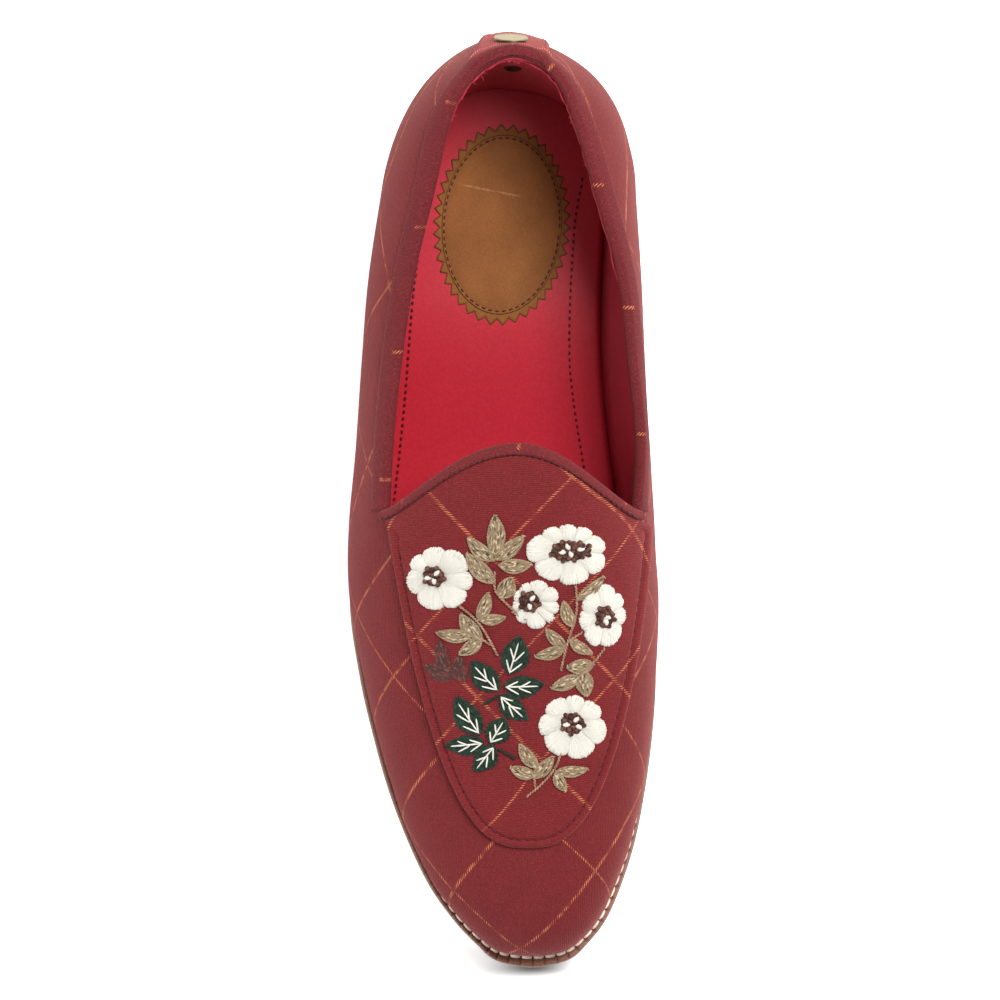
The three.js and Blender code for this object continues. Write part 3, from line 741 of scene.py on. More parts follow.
ticked = within(axes(i["Check"])[0], i["Tick Middle"], times(i["Tick Width"], 0.5), 0.2, 0.2)
strength = times(lines, dashes, kept, i["Line Strength"], ticked)
tone = linear(ribs, i["Rib Depth"], times(yarns, 0.16))
for part, share, start in ((cloudy, 0.3, 0.0), (grain, 1.3, -0.4), (nap, 0.6, -0.3)):
    tone = plus(tone, linear(part, share, start))
fibre = times(ramp(grain, 0.56, 0.72), i["Heather"])
base = mix(fibre, mix(tone, i["Shade"], i["Cloth"]), (160, 80, 80))
t.links.new(mix(strength, base, i["Line"]), out["Color"])
relief = times(ribs, i["Rib Depth"], 1.8)
for part, share in ((yarns, 0.25), (grain, 0.8), (strength, 0.3)):
    relief = plus(relief, times(part, share))
t.links.new(relief, out["Height"])
print("twill group:", len(TWILL.nodes), "nodes")


# %% Cloth
def cloth(name, own_check=False, sheen=0.22, **values):
    """A cloth material; its check follows the ribs' map, or the attribute "check" if the piece has one."""
    tree = new_tree(name)
    check = tagged(tree, "check", 1) if own_check else cloth_map(tree)
    out = use(tree, TWILL, Lengths=cloth_map(tree), Check=check, **values)
    return material(name, out["Color"], out["Height"], bump=0.00022, strength=0.7, Roughness=0.88,
                    Sheen_Weight=sheen, Sheen_Roughness=0.4, Sheen_Tint=(1.0, 0.42, 0.36, 1.0),
                    Specular_IOR_Level=0.12)


def bound(name, **values):
    """Cloth of a binding: its check shows only as the small marks where a thread of it crosses."""
    return cloth(name, Rib_Turn=0.9, Rib_Pitch=0.7, Cross_Turn=np.pi / 2, Pane_B=4000.0, Shift_B=2000.0,
                 Line_Strength=0.9, **values)


body_cloth = cloth("body_cloth", own_check=True, Pane_A=37.5, Shift_A=-68.5, Pane_B=29.4, Shift_B=9.3,
                   Line_Width=0.5, Width_B=1.7, Line_Strength=0.95)
apron_cloth = cloth("apron_cloth", Rib_Turn=1.62, Pane_A=34.4, Pane_B=26.9, Shift_A=-12.2, Shift_B=10.8,
                    Cloth=(126, 40, 42), Rib_Depth=0.36, Line_Width=1.0, Width_B=0.65,
                    Line_Strength=0.9)
# Painted light: the tab is the body's twill, given a lighter cloth and shade colour for the light it catches
# at the back of the heel.
tab_cloth_painted_light = cloth("tab_cloth_painted_light", Pane_A=38.0, Pane_B=400.0, Cross_Turn=np.pi / 2, Shift_A=33.8, Shift_B=200.0,
                  Line_Width=2.2, Cloth=(150, 58, 60), Shade=(98, 36, 38))
binding_cloth = bound("binding_cloth", sheen=0.1, Rib_Depth=0.16, Pane_A=39.84, Shift_A=24.8, Line_Width=1.0,
                      Tick_Middle=7.8, Tick_Width=4.4, Heather=0.55, Cloth=(122, 43, 46),
                      Shade=(62, 22, 26))
throat_cloth = bound("throat_cloth", sheen=0.12, Rib_Depth=0.2, Pane_A=44.5, Shift_A=11.9, Line_Width=1.1,
                     Tick_Middle=3.9, Tick_Width=3.0, Heather=0.5, Cloth=(120, 44, 46),
                     Shade=(76, 28, 31))
print("cloths:", [m.name for m in (body_cloth, apron_cloth, tab_cloth_painted_light, binding_cloth, throat_cloth)])

# %% [markdown]
# ## Vamp and quarters
# The outer cloth is one sheet round the shoe, closed by its own thickness. Its UV map unrolls the
# cloth: on the vamp the length across each section from the crest, and the length along the crest; on
# the quarters the length down from the collar and along it. The check then bends with the shape.

# %% Places of ribs and rows
VAMP_RIBS, QUARTER_RIBS, HEEL_RIBS = 120, 55, 60
TUCK_ROWS, WALL_ROWS = 14, 84


def side_places(vamp, quarter, heel):
    """Places from the toe to the back of the heel, closer together near the toe tip."""
    return np.concatenate([
        (np.arange(vamp) / vamp) ** 0.9, 1 + np.arange(quarter) / quarter, 2 + np.arange(heel + 1) / heel])


def loop_places(vamp=VAMP_RIBS, quarter=QUARTER_RIBS, heel=HEEL_RIBS):
    """Places all round: those of the medial side, and the same mirrored on the lateral side."""
    medial = side_places(vamp, quarter, heel)
    return np.concatenate([medial, 6 - medial[-2:0:-1]])


def outer_wall(u, tuck_rows=TUCK_ROWS, wall_rows=WALL_ROWS):
    """Grid of the outer surface: a column from the feather line to the upper edge for each place u."""
    h = np.arange(tuck_rows) / tuck_rows
    s = (np.arange(wall_rows + 1) / wall_rows) ** 1.7
    low = tuck(*np.meshgrid(u, h, indexing="ij"))
    high = wall(*np.meshgrid(u, s, indexing="ij"))
    return np.concatenate([low, high], 1)


print("places round the upper:", len(loop_places()), "rows up the wall:", TUCK_ROWS + WALL_ROWS + 1)


# %% Lengths on the cloth
def section_length(points):
    """Length across the section from the crest to each point, by 32 chords."""
    x, y = points[..., 0], points[..., 1]
    f = 1 - (1 - np.linspace(0, 1, 33)) ** 2
    ridge = read(LAST, "ridge", y)
    xs = lerp(ridge[..., None], x[..., None], f)
    zs = vamp_height(xs, y[..., None] + 0 * xs)
    return np.sum(np.hypot(np.diff(xs), np.diff(zs)), -1) * np.sign(x - ridge)


def crest_length(y):
    """Length along the crest from the throat corners, negative towards the toe."""
    ys = np.linspace(TOE_Y, CORNER_Y + 25, 400)
    lengths = run_along(np.stack([ys, read(CREST, "z", ys)], -1))
    return np.interp(y, ys, lengths) - np.interp(CORNER_Y, ys, lengths)


print("crest from the throat to the toe:", -round(float(crest_length(TOE_Y)), 1), "mm")

# %% The check as it was lasted
LASTED = {  # how far each thread family has run at a distance behind the throat corner, on each side
    "run": [0, 20, 40, 58, 68, 76, 83, 96, 110, 125, 160],
    "falling_med": [0, 18, 33, 44, 47, 53, 61, 62.5, 62, 60, 56.5],
    "rising_med": [0, 21, 43, 62, 71, 77, 82, 91.5, 101.5, 115, 150],
    "falling_lat": [0, 16, 30, 42, 54, 61, 64, 70.5, 80, 82, 80],
    "rising_lat": [0, 20, 40, 58, 64, 69, 75, 88, 100, 115, 150],
}
LASTED_BLUR = np.linspace(-4, 4, 9)  # the tables' corners are rounded over this run
BODY_PULLS = [(46, -20, 22, 60, -8.1, -8.1), (5, -130, 45, 30, -2.6, 1.6)]  # middle, reach, shift in x and y
APRON_PULLS = [(42, -6, 16, 20, -3, -3), (-30, 0, 16, 16, 3.5, -3.5), (-5, -95, 22, 22, -3, 3)]


def gone(family, run, medial):
    """Length that a thread family has run, read from the table of its side and rounded."""
    at = run[:, None] + LASTED_BLUR * np.clip(run / 20, 0, 1)[:, None]
    sides = [np.interp(at, LASTED["run"], LASTED[f"{family}_{side}"]).mean(1) for side in ("med", "lat")]
    return np.where(medial, *sides)[:, None]


def pull(points, pulls):
    """Shift of the check in x and y: a sum of bells."""
    shift = np.zeros(points.shape[:-1] + (2,))
    for x, y, reach_x, reach_y, by_x, by_y in pulls:
        near = bell(points[..., 0], x, reach_x) * bell(points[..., 1], y, reach_y)
        shift += near[..., None] * (by_x, by_y)
    return shift


# %% Unrolling the cloth
def run_behind_corner(u):
    """Length along the middle of the wall behind the throat corner of each side."""
    v, medial = split(u)
    run, _ = run_round(lerp(widest(u), top_line(u), 0.5))
    corner = np.argmax(v >= 1)
    return np.maximum(np.where(medial, run - run[corner], run[len(u) - corner] - run), 0)


def unroll(u, grid, first_wall):
    """Lengths on the cloth for a grid of the outer surface, and the same as the lasted check has them."""
    v, medial = split(u)
    run = run_behind_corner(u)
    steps = np.linalg.norm(np.diff(grid, axis=1, append=grid[:, -1:]), axis=-1)
    down = np.cumsum(steps[:, ::-1], 1)[:, ::-1]
    corners = np.array([[COLLAR[side][0], CORNER_Y] for side in ("med", "lat")])
    edge = np.where(medial, *section_length(corners))
    corner_height = np.where(medial, COLLAR["z_med"][0], COLLAR["z_lat"][0])
    climb = np.where(v > 1, collar_height(u) - corner_height, 0)
    falling, rising = (gone(family, run, medial) for family in ("falling", "rising"))
    edge, sign, climb, run = (a[:, None] for a in (edge, np.where(medial, 1, -1), climb, run))
    quarter = np.stack(np.broadcast_arrays(edge + sign * (down - climb), run), -1)
    lasted = np.broadcast_arrays(edge + sign * (down + (falling - rising) / 2), (falling + rising) / 2)
    hold = grid.copy()
    hold[:, :first_wall] = grid[:, first_wall:first_wall + 1]
    below = np.maximum(down - down[:, first_wall:first_wall + 1], 0)[..., None] * outward(u)[:, None]
    vamp = np.stack([section_length(hold), crest_length(hold[..., 1])], -1) + below
    on_vamp = (v <= 1)[:, None, None]
    check = np.where(on_vamp, vamp, np.stack(lasted, -1)) + pull(grid, BODY_PULLS)
    return np.where(on_vamp, vamp, quarter), check


# %% Creases
CREASES = {  # soft troughs and ridges, by place, half-lengths along and across, turn and depth
    "x": [-37, -36, 46, 44, -30, 31, -14, 22, 0, 34, -44, 47, -48, 50, 32],
    "y": [-18, 6, -12, 12, -82, -88, -118, -122, -131, 104, 40, -40, -18, -28, 130.5],
    "long": [16, 12, 15, 12, 20, 18, 12, 10, 14, 12, 22, 18, 26, 26, 24],
    "wide": [3.5, 4, 4, 4, 5, 5, 4.5, 4.5, 3, 4, 6, 6, 8, 8, 6.5],
    "turn": [70, 100, 110, 80, 60, 125, 20, 160, 0, 60, 85, 95, 90, 90, 118],
    "depth": [-0.5, 0.35, -0.5, 0.35, -0.35, -0.35, 0.25, 0.25, -0.2, -0.4, 0.2, -0.2, 0.8, 0.9, 1.8],
}


def creased(points, normals):
    """Moves points along their normals by a sum of oval bells, one for each crease."""
    moved = np.zeros(points.shape[:-1])
    for x, y, length, width, turn, depth in zip(*CREASES.values()):
        ahead, across = xy(rotated(points[..., :2] - (x, y), -np.radians(turn)))
        moved += depth * np.exp(-(ahead / length) ** 2 - (across / width) ** 2)
    return points + normals * moved[..., None]


print("creases:", len(CREASES["x"]))

# %% Outer cloth of the upper
CLOTH_THICK, LINING_THICK = 1.2, 0.9


def outer_normals(grid):
    """Outward normals of the wall: away from the middle of the shoe."""
    normals = surface_normals(grid, wrap=True)
    return normals * np.sign(np.einsum("ijk,ijk->", normals, grid - grid.mean((0, 1))))


def wall_shell(grid, normals, front, back):
    """Closed ring of a wall between two depths under the outer surface."""
    return np.concatenate([grid - front * normals, (grid - back * normals)[:, ::-1]], 1)


u = loop_places()
outer = outer_wall(u)
outer_n = outer_normals(outer)
lengths, check = unroll(u, outer, TUCK_ROWS)
lengths, check = (np.concatenate([values, values[:, ::-1]], 1) for values in (lengths, check))
solid("upper_cloth", wall_shell(creased(outer, outer_n), outer_n, 0, CLOTH_THICK),
      [grid_quads(len(u), 2 * outer.shape[1], True, True)], body_cloth, lengths, ("upper",),
      extra={"check": with_height(check, 0.0).reshape(-1, 3)})

# %% [markdown]
# ## Lining and insole
# Inside, the wall is faced with smooth crimson leather, and a sock of the same leather covers the
# insole. Its colour varies in soft clouds and pores, and a fine grain breaks the shine.

# %% Crimson leather
LEATHER, i, out = group(
    "leather",
    [("Vector", "Vector", (0, 0, 0)), ("Grain", "Float", 900.0), ("Light", "Color", (190, 40, 55)),
     ("Dark", "Color", (150, 24, 40)), ("Cloud", "Float", 26.0)],
    [("Color", "Color"), ("Height", "Float"), ("Rough", "Float")],
)
t = LEATHER
cell = node("TexVoronoi", i["Vector"], None, i["Grain"], feature="F1")
pores = ramp(cell, 0.15, 0.75)
clouds = noise(i["Vector"], i["Cloud"], 4.0, 0.6)
fine = noise(i["Vector"], 2600.0, 2.0)
tone = plus(times(pores, 0.25), times(clouds, 0.75))
t.links.new(mix(tone, i["Light"], i["Dark"]), out["Color"])
t.links.new(minus(times(fine, 0.3), pores), out["Height"])
t.links.new(linear(clouds, 0.2, 0.42), out["Rough"])


def leather(name, light, dark, strength=0.5, shine=0.5, pressed=None, **values):
    """Leather material; pressed is a painted shade colour: the attribute "nick" says where the leather is
    dented, and there it is painted this dark, as the shade in the dent.
    """
    tree = new_tree(name)
    out = use(tree, LEATHER, Vector=object_map(tree), Light=light, Dark=dark, **values)
    shown = out["Color"]
    if pressed:
        shown = mix(tagged(tree, "nick"), shown, pressed)
    return material(name, shown, out["Height"], bump=0.00006, strength=strength, rough=out["Rough"],
                    Specular_IOR_Level=shine)


# Painted shade: the lining of the wall and the sock are one leather with two colours, each set to how it
# shows in its own light; the wall's crimson is paler and less saturated, for the shaded wall.
crimson = leather("crimson_lining", (194, 62, 78), (168, 48, 64), strength=0.15, shine=0.45)
print("leather group:", len(LEATHER.nodes), "nodes")

# %% Lining of the wall
LINING_TUCK_ROWS, LINING_ROWS = 6, 40
LINING_DEPTHS = (CLOTH_THICK + 0.05, CLOTH_THICK + LINING_THICK)
u_in = loop_places(60, 30, 34)
inside = outer_wall(u_in, LINING_TUCK_ROWS, LINING_ROWS)
inside_n = outer_normals(inside)
solid("lining", wall_shell(creased(inside, inside_n), inside_n, *LINING_DEPTHS),
      [grid_quads(len(u_in), 2 * inside.shape[1], True, True)], crimson)

# %% [markdown]
# ## Slabs of the sole
# Insole, outsole, heel stack and top lift are slabs: the same outline, drawn in by an inset at each
# height of an edge profile. The rings of the profile make the edge, and quads across the shoe, from
# the medial to the lateral side of each ring, close it above and below.

# %% Slab builder
SEAM = WALL + 0.3
SPINE_FRONT, SPINE_BACK, SPINE_LEAN, SPINE_X = 40, 33, 0.55, 0.6


def sole_edge(u, inset):
    """Edge of the sole in plan, drawn in by an inset."""
    return beside(u, foot_value("edge", u) - inset)


def feather_edge(u, inset):
    """Feather line in plan, drawn in by an inset."""
    return beside(u, -foot_value("tuck", u) - inset)


def on_sole(plan, height):
    """Points at a height above the sole's curved underside."""
    return with_height(plan, sole_bottom(plan[..., 1]) + height)


def cap(count, start, tip):
    """Quads across a ring of points; tip says that the ring starts in a single point at the toe."""
    i = np.arange(count // 2 + 1)
    mirror = (count - i) % count if tip else count - 1 - i
    quads = np.stack([i[:-1], i[1:], mirror[1:], mirror[:-1]], -1)
    at_tip, at_back = quads[:, 0] == quads[:, 3], quads[:, 1] == quads[:, 2]
    tris = [quads[at_tip][:, :3], quads[~at_tip & at_back][:, [0, 1, 3]]]
    return start + quads[~(at_tip | at_back)], start + np.concatenate(tris)


def slab(name, rings, finish, node_name, tip=True):
    """Closed slab from rings of points, bottom to top."""
    rings = np.stack(rings)
    levels, count = rings.shape[:2]
    low_quads, low_tris = cap(count, 0, tip)
    high_quads, high_tris = cap(count, (levels - 1) * count, tip)
    quads = np.concatenate([grid_quads(levels, count, False, True), low_quads[:, ::-1], high_quads])
    solid(name, rings, [quads, np.concatenate([low_tris[:, ::-1], high_tris])], finish,
          replaces=(node_name,))


def spine_of(plan):
    """Middle line that the rings of a crowned slab shrink to, beside the ridge and short of both ends."""
    y = np.clip(plan[..., 1], plan[..., 1].min() + SPINE_FRONT, plan[..., 1].max() - SPINE_BACK)
    return np.stack([SPINE_LEAN * read(LAST, "ridge", y) + SPINE_X, y], -1)


# %% Insole with its sock
INSOLE_LOW, INSOLE_HIGH = OUTSOLE + GAP, OUTSOLE + GAP + INSOLE
CROWN = 0.9  # the insole is this much higher in the middle
SOCK_RINGS, SPINE_SHARE = 16, 0.985  # the sock's rings stop just short of its middle line
plan = feather_edge(u_in, WALL - 0.7)
SOCK_EDGE = [(SEAM + 0.3, INSOLE_LOW), (SEAM, FEATHER - 0.3), (WALL - 0.3, INSOLE_HIGH - 0.3)]
rings = [on_sole(feather_edge(u_in, inset), z) for inset, z in SOCK_EDGE]
for f in 1 - (1 - np.linspace(0.004, 1, SOCK_RINGS)) ** 1.3:
    crown = CROWN * np.sin(min(1, f * 1.6) * np.pi / 2) - 0.25 * np.exp(-f * 40)
    rings.append(on_sole(lerp(plan, spine_of(plan), f * SPINE_SHARE), INSOLE_HIGH + crown))
# Painted light: the sock has its own more saturated crimson, set to how it shows in the key light.
sock = leather("crimson_sock", (190, 33, 50), (156, 22, 38), strength=0.15, shine=0.3, Cloud=16.0)
slab("insole_sock", rings, sock, "insole")


def on_insole(plan, height):
    """Points at a height over the insole's face, which is flat across where anything lies on it."""
    return on_sole(plan, INSOLE_HIGH + CROWN + height)


# %% Leathers of the sole
# Painted shade: the welt's rim is painted near-black in each nick, as the shade in the dent.
welt_leather = leather("welt_leather", (136, 76, 52), (78, 42, 31), pressed=(26, 10, 9), Cloud=120.0)
sole_leather = leather("sole_leather", (122, 80, 60), (84, 50, 38), Cloud=90.0)
stack_leather = leather("stack_leather", (112, 72, 52), (70, 42, 32), Cloud=60.0)
lift_rubber = leather("lift_rubber", (52, 40, 36), (30, 24, 22), Grain=400.0)
print("leathers:", [m.name for m in (crimson, sock, welt_leather, sole_leather, stack_leather, lift_rubber)])

# %% Outsole
EDGE = [  # millimetres in, height
    (1.3, 0.0), (0.7, 0.12), (0.3, 0.45), (0.1, 1.0), (0.0, 1.9), (0.05, 2.9), (0.25, 3.5), (0.7, 3.9),
    (1.4, OUTSOLE)]
u_sole = loop_places(150, 60, 60)
slab("outsole_leather", [on_sole(sole_edge(u_sole, inset), z) for inset, z in EDGE], sole_leather,
     "outsole")

# %% Heel stack and top lift
LIFTS = 3  # layers of leather in the stack
FRONT_STEP, SIDE_PLACES, BACK_PLACES = 0.012, 14, 48


def heel_places():
    """Places round the heel, from the medial end of its straight front to the lateral one."""
    first = 1 + (BREAST_Y - CORNER_Y) / (HEEL_Y - CORNER_Y)
    side = np.linspace(first + FRONT_STEP, 2, SIDE_PLACES)
    medial = np.concatenate([[first], side, 2 + np.arange(1, BACK_PLACES + 1) / BACK_PLACES])
    return np.concatenate([medial, 6 - medial[-2::-1]])


def heel_ring(inset, z):
    """Outline of the heel at a height; it tapers downwards and its front is straight."""
    plan = sole_edge(heel_places(), inset + HEEL_TAPER * (1 - z / HEEL_SEAT))
    plan[[0, -1], 1] = BREAST_Y
    plan[:, 1] = np.maximum(plan[:, 1], BREAST_Y)
    return with_height(plan, float(z))


stack_low, stack_high = TOP_LIFT + GAP, HEEL_SEAT - GAP
layer = (stack_high - stack_low) / LIFTS
LAYER_EDGE = [(0.28, 0.0), (0.05, 0.25), (0.0, layer / 2), (0.05, layer - 0.25), (0.28, layer - 0.02)]
rings = [heel_ring(inset, stack_low + k * layer + z) for k in range(LIFTS) for inset, z in LAYER_EDGE]
slab("heel_stack_leather", rings, stack_leather, "heel_stack", tip=False)
LIFT_EDGE = [(0.5, 0), (0.1, 0.3), (0, 1), (0, TOP_LIFT - 0.5), (0.3, TOP_LIFT)]
slab("top_lift_rubber", [heel_ring(*edge) for edge in LIFT_EDGE], lift_rubber, "top_lift",
     tip=False)

# %% [markdown]
# ## Welt
# The welt is a strip of leather sewn round the edge: it has a groove for the stitches against the
# upper, a raised rim outside it, and nicks pressed across the rim between stitches. The rim's profile
# is carried round the shoe and dips where the arc length is near a nick.

# %% Places along the welt
STITCH_PITCH = 4.0
NICK_HALF = 0.11  # half the width of a nick, in stitches
u_welt = loop_places(800, 240, 220)
edge_run, edge_total = run_round(sole_edge(u_welt, 0.0))
STITCHES = int(round(edge_total / STITCH_PITCH))
phase = edge_run / edge_total * STITCHES
nick = bell(phase, np.round(phase), NICK_HALF)


def welt_width(u):
    """From the sole's edge to the feather line."""
    return foot_value("edge", u) + foot_value("tuck", u)


print("welt:", round(edge_total), "mm round,", STITCHES, "stitches")

# %% Welt
WELT_LOW, WELT_HIGH = OUTSOLE + GAP, OUTSOLE + GAP + WELT
NICK_IN, NICK_DEEP = 0.3, 0.8
PROFILE = [  # share of the way in, millimetres in, height, how much a nick cuts
    (0.0, 0.5, WELT_LOW, 0.0), (0.0, 0.35, WELT_LOW + 0.5, 0.0), (0.0, 0.4, WELT_HIGH - 1.2, 0.2),
    (0.0, 0.65, WELT_HIGH - 0.45, 0.7), (0.0, 1.0, WELT_HIGH - 0.1, 1.0), (0.12, 0.8, WELT_HIGH, 1.0),
    (0.3, 0.6, WELT_HIGH - 0.1, 1.0), (0.44, 0.3, WELT_HIGH - 0.55, 0.7), (0.6, 0.1, WELT_HIGH - 0.6, 0.2),
    (0.8, 0.0, WELT_HIGH - 0.3, 0.0), (1.0, 0.0, WELT_HIGH - 0.1, 0.0), (1.0, 2.3, WELT_HIGH - 0.1, 0.0),
    (1.0, 2.3, WELT_LOW, 0.0)]
rings = []
for share, inset, z, cut in PROFILE:
    plan = sole_edge(u_welt, share * welt_width(u_welt) + inset + NICK_IN * cut * nick)
    rings.append(on_sole(plan, z - NICK_DEEP * cut * nick))
# The attribute "nick" marks where this painted shade darkens the rim.
cuts = np.array(PROFILE)[:, 3]
solid("welt_strip", np.stack(rings, 1), [grid_quads(len(u_welt), len(PROFILE), True, True)], welt_leather,
      replaces=("welt",),
      extra={"nick": np.clip(1.5 * nick[:, None] * cuts, 0, 1).ravel()})

# %% [markdown]
# ## Stitches
# Every stitch of the shoe comes from one small shape: a round bar that rises out of one hole and goes
# down into the next. It has six stations of six points, and arrays of starts, ends and normals lay
# thousands of them in one mesh.

# %% Stitch builder
STATIONS = np.array([0.0, 0.07, 0.3, 0.7, 0.93, 1.0])
THICKNESS = np.array([0.25, 0.75, 1.0, 1.0, 0.75, 0.25])[:, None]  # share of the full one at each station
ROUND = np.arange(6) / 6 * 2 * np.pi
UP = (0.0, 0.0, 1.0)


def stitches(name, start, end, normal, finish, width, height, bow):
    """A bar for each row of the arrays: start + (end - start) t, raised by bow * 4 t (1 - t)."""
    count, each = len(start), len(STATIONS) * len(ROUND)
    normal = np.broadcast_to(normal, start.shape)
    run = end - start
    side = unit(np.cross(run, normal))
    flat = np.cos(ROUND) * THICKNESS * width / 2
    high = np.sin(ROUND) * THICKNESS * height + bow * (4 * STATIONS * (1 - STATIONS))[:, None]
    start, run, side, normal = (values[:, None, None] for values in (start, run, side, normal))
    points = start + run * STATIONS[:, None, None] + side * flat[..., None] + normal * high[..., None]
    shift = (np.arange(count) * each)[:, None, None]
    quads = grid_quads(len(STATIONS), len(ROUND), False, True)[None] + shift
    ends = np.array([[0, 1, 2, 3], [0, 3, 4, 5]])
    caps = np.concatenate([ends, (ends + each - len(ROUND))[:, ::-1]])[None] + shift
    shade = {"shade": np.repeat(rng.random(count), each)}
    solid(name, points, [quads.reshape(-1, 4), caps.reshape(-1, 4)], finish, extra=shade)


def sewn_rows(name, rows, share, finish, width, height, bow):
    """Stitches between the points of rows, each over a share of the step.

    A row holds x, y, z and, where the surface isn't level, the normal behind them."""
    start = np.concatenate([row[:-1] for row in rows])
    end = np.concatenate([lerp(row[:-1], row[1:], share) for row in rows])
    normal = start[:, 3:] if start.shape[1] > 3 else UP
    stitches(name, start[:, :3], end[:, :3], normal, finish, width, height, bow)


def thread(name, light, dark, twist=1500.0):
    """Thread: bands of light and dark across the lie of the fibres, with a soft shine."""
    tree = new_tree(name)
    bands = noise(object_map(tree), twist, 2.0, 0.6)
    tone = plus(times(bands, 0.6), times(tagged(tree, "shade"), 0.4))
    return material(name, mix(tone, dark, light), bands, bump=0.0001, strength=0.5,
                    Roughness=0.6, Specular_IOR_Level=0.25)


print("a stitch has", len(STATIONS) * len(ROUND), "points")

# %% Stitches of the welt
SEAM_SHARE = ([0.05, 0.25], [0.62, 0.52])  # place from the toe, and how far in the row runs on the welt


def welt_seam(k):
    """Point of the welt's row at the place where the stitch count along the edge is k."""
    run = np.mod(k, STITCHES) / STITCHES * edge_total
    u = np.interp(run, np.append(edge_run, edge_total), np.append(u_welt, 6.0 - 1e-9))
    return on_sole(sole_edge(u, np.interp(split(u)[0], *SEAM_SHARE) * welt_width(u)), WELT_HIGH - 0.35)


cream = thread("cream_thread", (250, 238, 226), (214, 190, 172))
index = np.arange(STITCHES)
stitches("welt_stitches", welt_seam(index + 0.06), welt_seam(index + 0.94), UP, cream, width=1.35,
         height=0.5, bow=0.35)

# %% [markdown]
# ## Apron
# The apron lies on the vamp as a second layer. Its edge is folded under and sewn down, so it stands
# proud as a round lip with a sunk seam behind it. A point of it is a place on the outline drawn in
# towards the middle, and its height depends only on the distance from the edge.

# %% Outline of the apron
APRON = {"top_y": -6.0, "length": 101.2, "half": 40.0, "axis": 6.5, "lean": 2.7, "bend": 1.25, "round": 0.375}
APRON_GAP, APRON_THICK, THROAT_INSET = 0.4, 1.6, 1.2
APRON_MIDDLE = np.array([8.0, -44.0])
SEAM_IN = 2.9  # the sewn line runs this far inside the folded edge


def apron_edge(part, sign):
    """Side of the apron: half-width half * (1 - part ** bend) ** round, about an axis that leans."""
    half = APRON["half"] * (1 - part ** APRON["bend"]) ** APRON["round"]
    axis = APRON["axis"] + APRON["lean"] * np.sqrt(part)
    return np.stack([axis + sign * half, APRON["top_y"] - APRON["length"] * part], -1)


def apron_outline(per_side, across, link):
    """Closed outline with a weight that is 1 on the folded sides and 0 at the throat."""
    part = np.sin(np.linspace(0, 1, per_side + 1) * np.pi / 2) ** 0.9
    sides = np.concatenate([apron_edge(part, 1), apron_edge(part[-2::-1], -1)])
    f = np.sin((np.linspace(0, 1, across + 1) - 0.5) * np.pi)
    throat = arch_point(f) + np.stack([-f * THROAT_INSET, np.full_like(f, -2 * THROAT_INSET)], -1)
    join = np.linspace(0, 1, link + 2)[1:-1, None]
    first, last = lerp(sides[-1], throat[0], join), lerp(throat[-1], sides[0], join)
    weight = np.concatenate([np.ones(len(sides)), 1 - join[:, 0], np.zeros(len(throat)), join[:, 0]])
    return np.concatenate([sides, first, throat, last]), weight


def inward(outline, middle):
    """For a closed outline: the step towards the middle that brings a point 1 mm inside the edge."""
    run = unit(np.roll(outline, -1, 0) - np.roll(outline, 1, 0))
    normal = right_of(sum(np.roll(run, k, 0) for k in range(-2, 3)) / 5)
    ray = middle - outline
    return ray / np.maximum(np.abs(np.einsum("ij,ij->i", ray, normal)), 1e-6)[:, None]


def hem_height(d):
    """Folded side: quarter-round lip, a little fat over the fold, sunk at the seam, full inside."""
    lip = (APRON_GAP + APRON_THICK) * np.sqrt(1 - (1 - np.clip(d / 1.3, 0, 1)) ** 2)
    return lip + 0.35 * bell(d, 1.5, 0.9) - 0.6 * bell(d, SEAM_IN, 0.38) + 0.25 * bell(d, 6.5, 2.6)


def skived_height(d):
    """Throat side: pared thin under the binding."""
    return 0.25 + 1.35 * np.clip(d / 0.6, 0, 1) + 0.4 * (1 - np.exp(-np.maximum(d - 1, 0) / 2.5))


# %% Cloth of the apron
PER_SIDE, ACROSS, LINK = 170, 120, 5  # places along each side, across the throat and round each corner
DISTANCES = np.array([  # of the rings near the edge, closest where the lip bends and the seam sinks
    0, 0.08, 0.25, 0.5, 0.8, 1.1, 1.5, 1.9, 2.2, 2.45, 2.7, 2.9, 3.1, 3.35, 3.7, 4.2, 5, 6, 7, 8])
INNER_RINGS, UNDER_RINGS, UNDER_HEIGHT = 33, 6, 0.05


def apron_lengths(points):
    """Lengths on the apron's cloth: between the plan and the unrolled section, pulled at some places."""
    x, y = points[:, 0], points[:, 1]
    x = lerp(x, section_length(points) + read(LAST, "ridge", y), 0.45)
    return np.stack([x, y], -1) + pull(points, APRON_PULLS)


outline, fold = apron_outline(PER_SIDE, ACROSS, LINK)
inset_step = inward(outline, APRON_MIDDLE)
band = outline + DISTANCES[:, None, None] * inset_step
shrink = 1 - (1 - np.arange(1, INNER_RINGS + 1) / (INNER_RINGS + 1)) ** 1.15
plan = np.concatenate([band, lerp(band[-1], APRON_MIDDLE, shrink[:, None, None])])
far = np.concatenate([DISTANCES, DISTANCES[-1] + 30 * shrink])[:, None]
top, _ = vamp_place(plan, fold * hem_height(far) + (1 - fold) * skived_height(far))
shrink = 0.98 * (1 - np.linspace(0.004, 1, UNDER_RINGS + 1)[:-1] ** 1.3)
under, _ = vamp_place(lerp(outline, APRON_MIDDLE, shrink[:, None, None]), UNDER_HEIGHT)
hubs = [vamp_place(APRON_MIDDLE, height)[0] for height in (UNDER_HEIGHT, APRON_GAP + APRON_THICK)]
points, faces = capped(np.concatenate([under, top]), hubs)
solid("apron_cloth_panel", points, faces, apron_cloth, apron_lengths(points), ("apron",))

# %% Seam round the apron
seam_thread = thread("seam_thread", (90, 28, 34), (42, 10, 15))


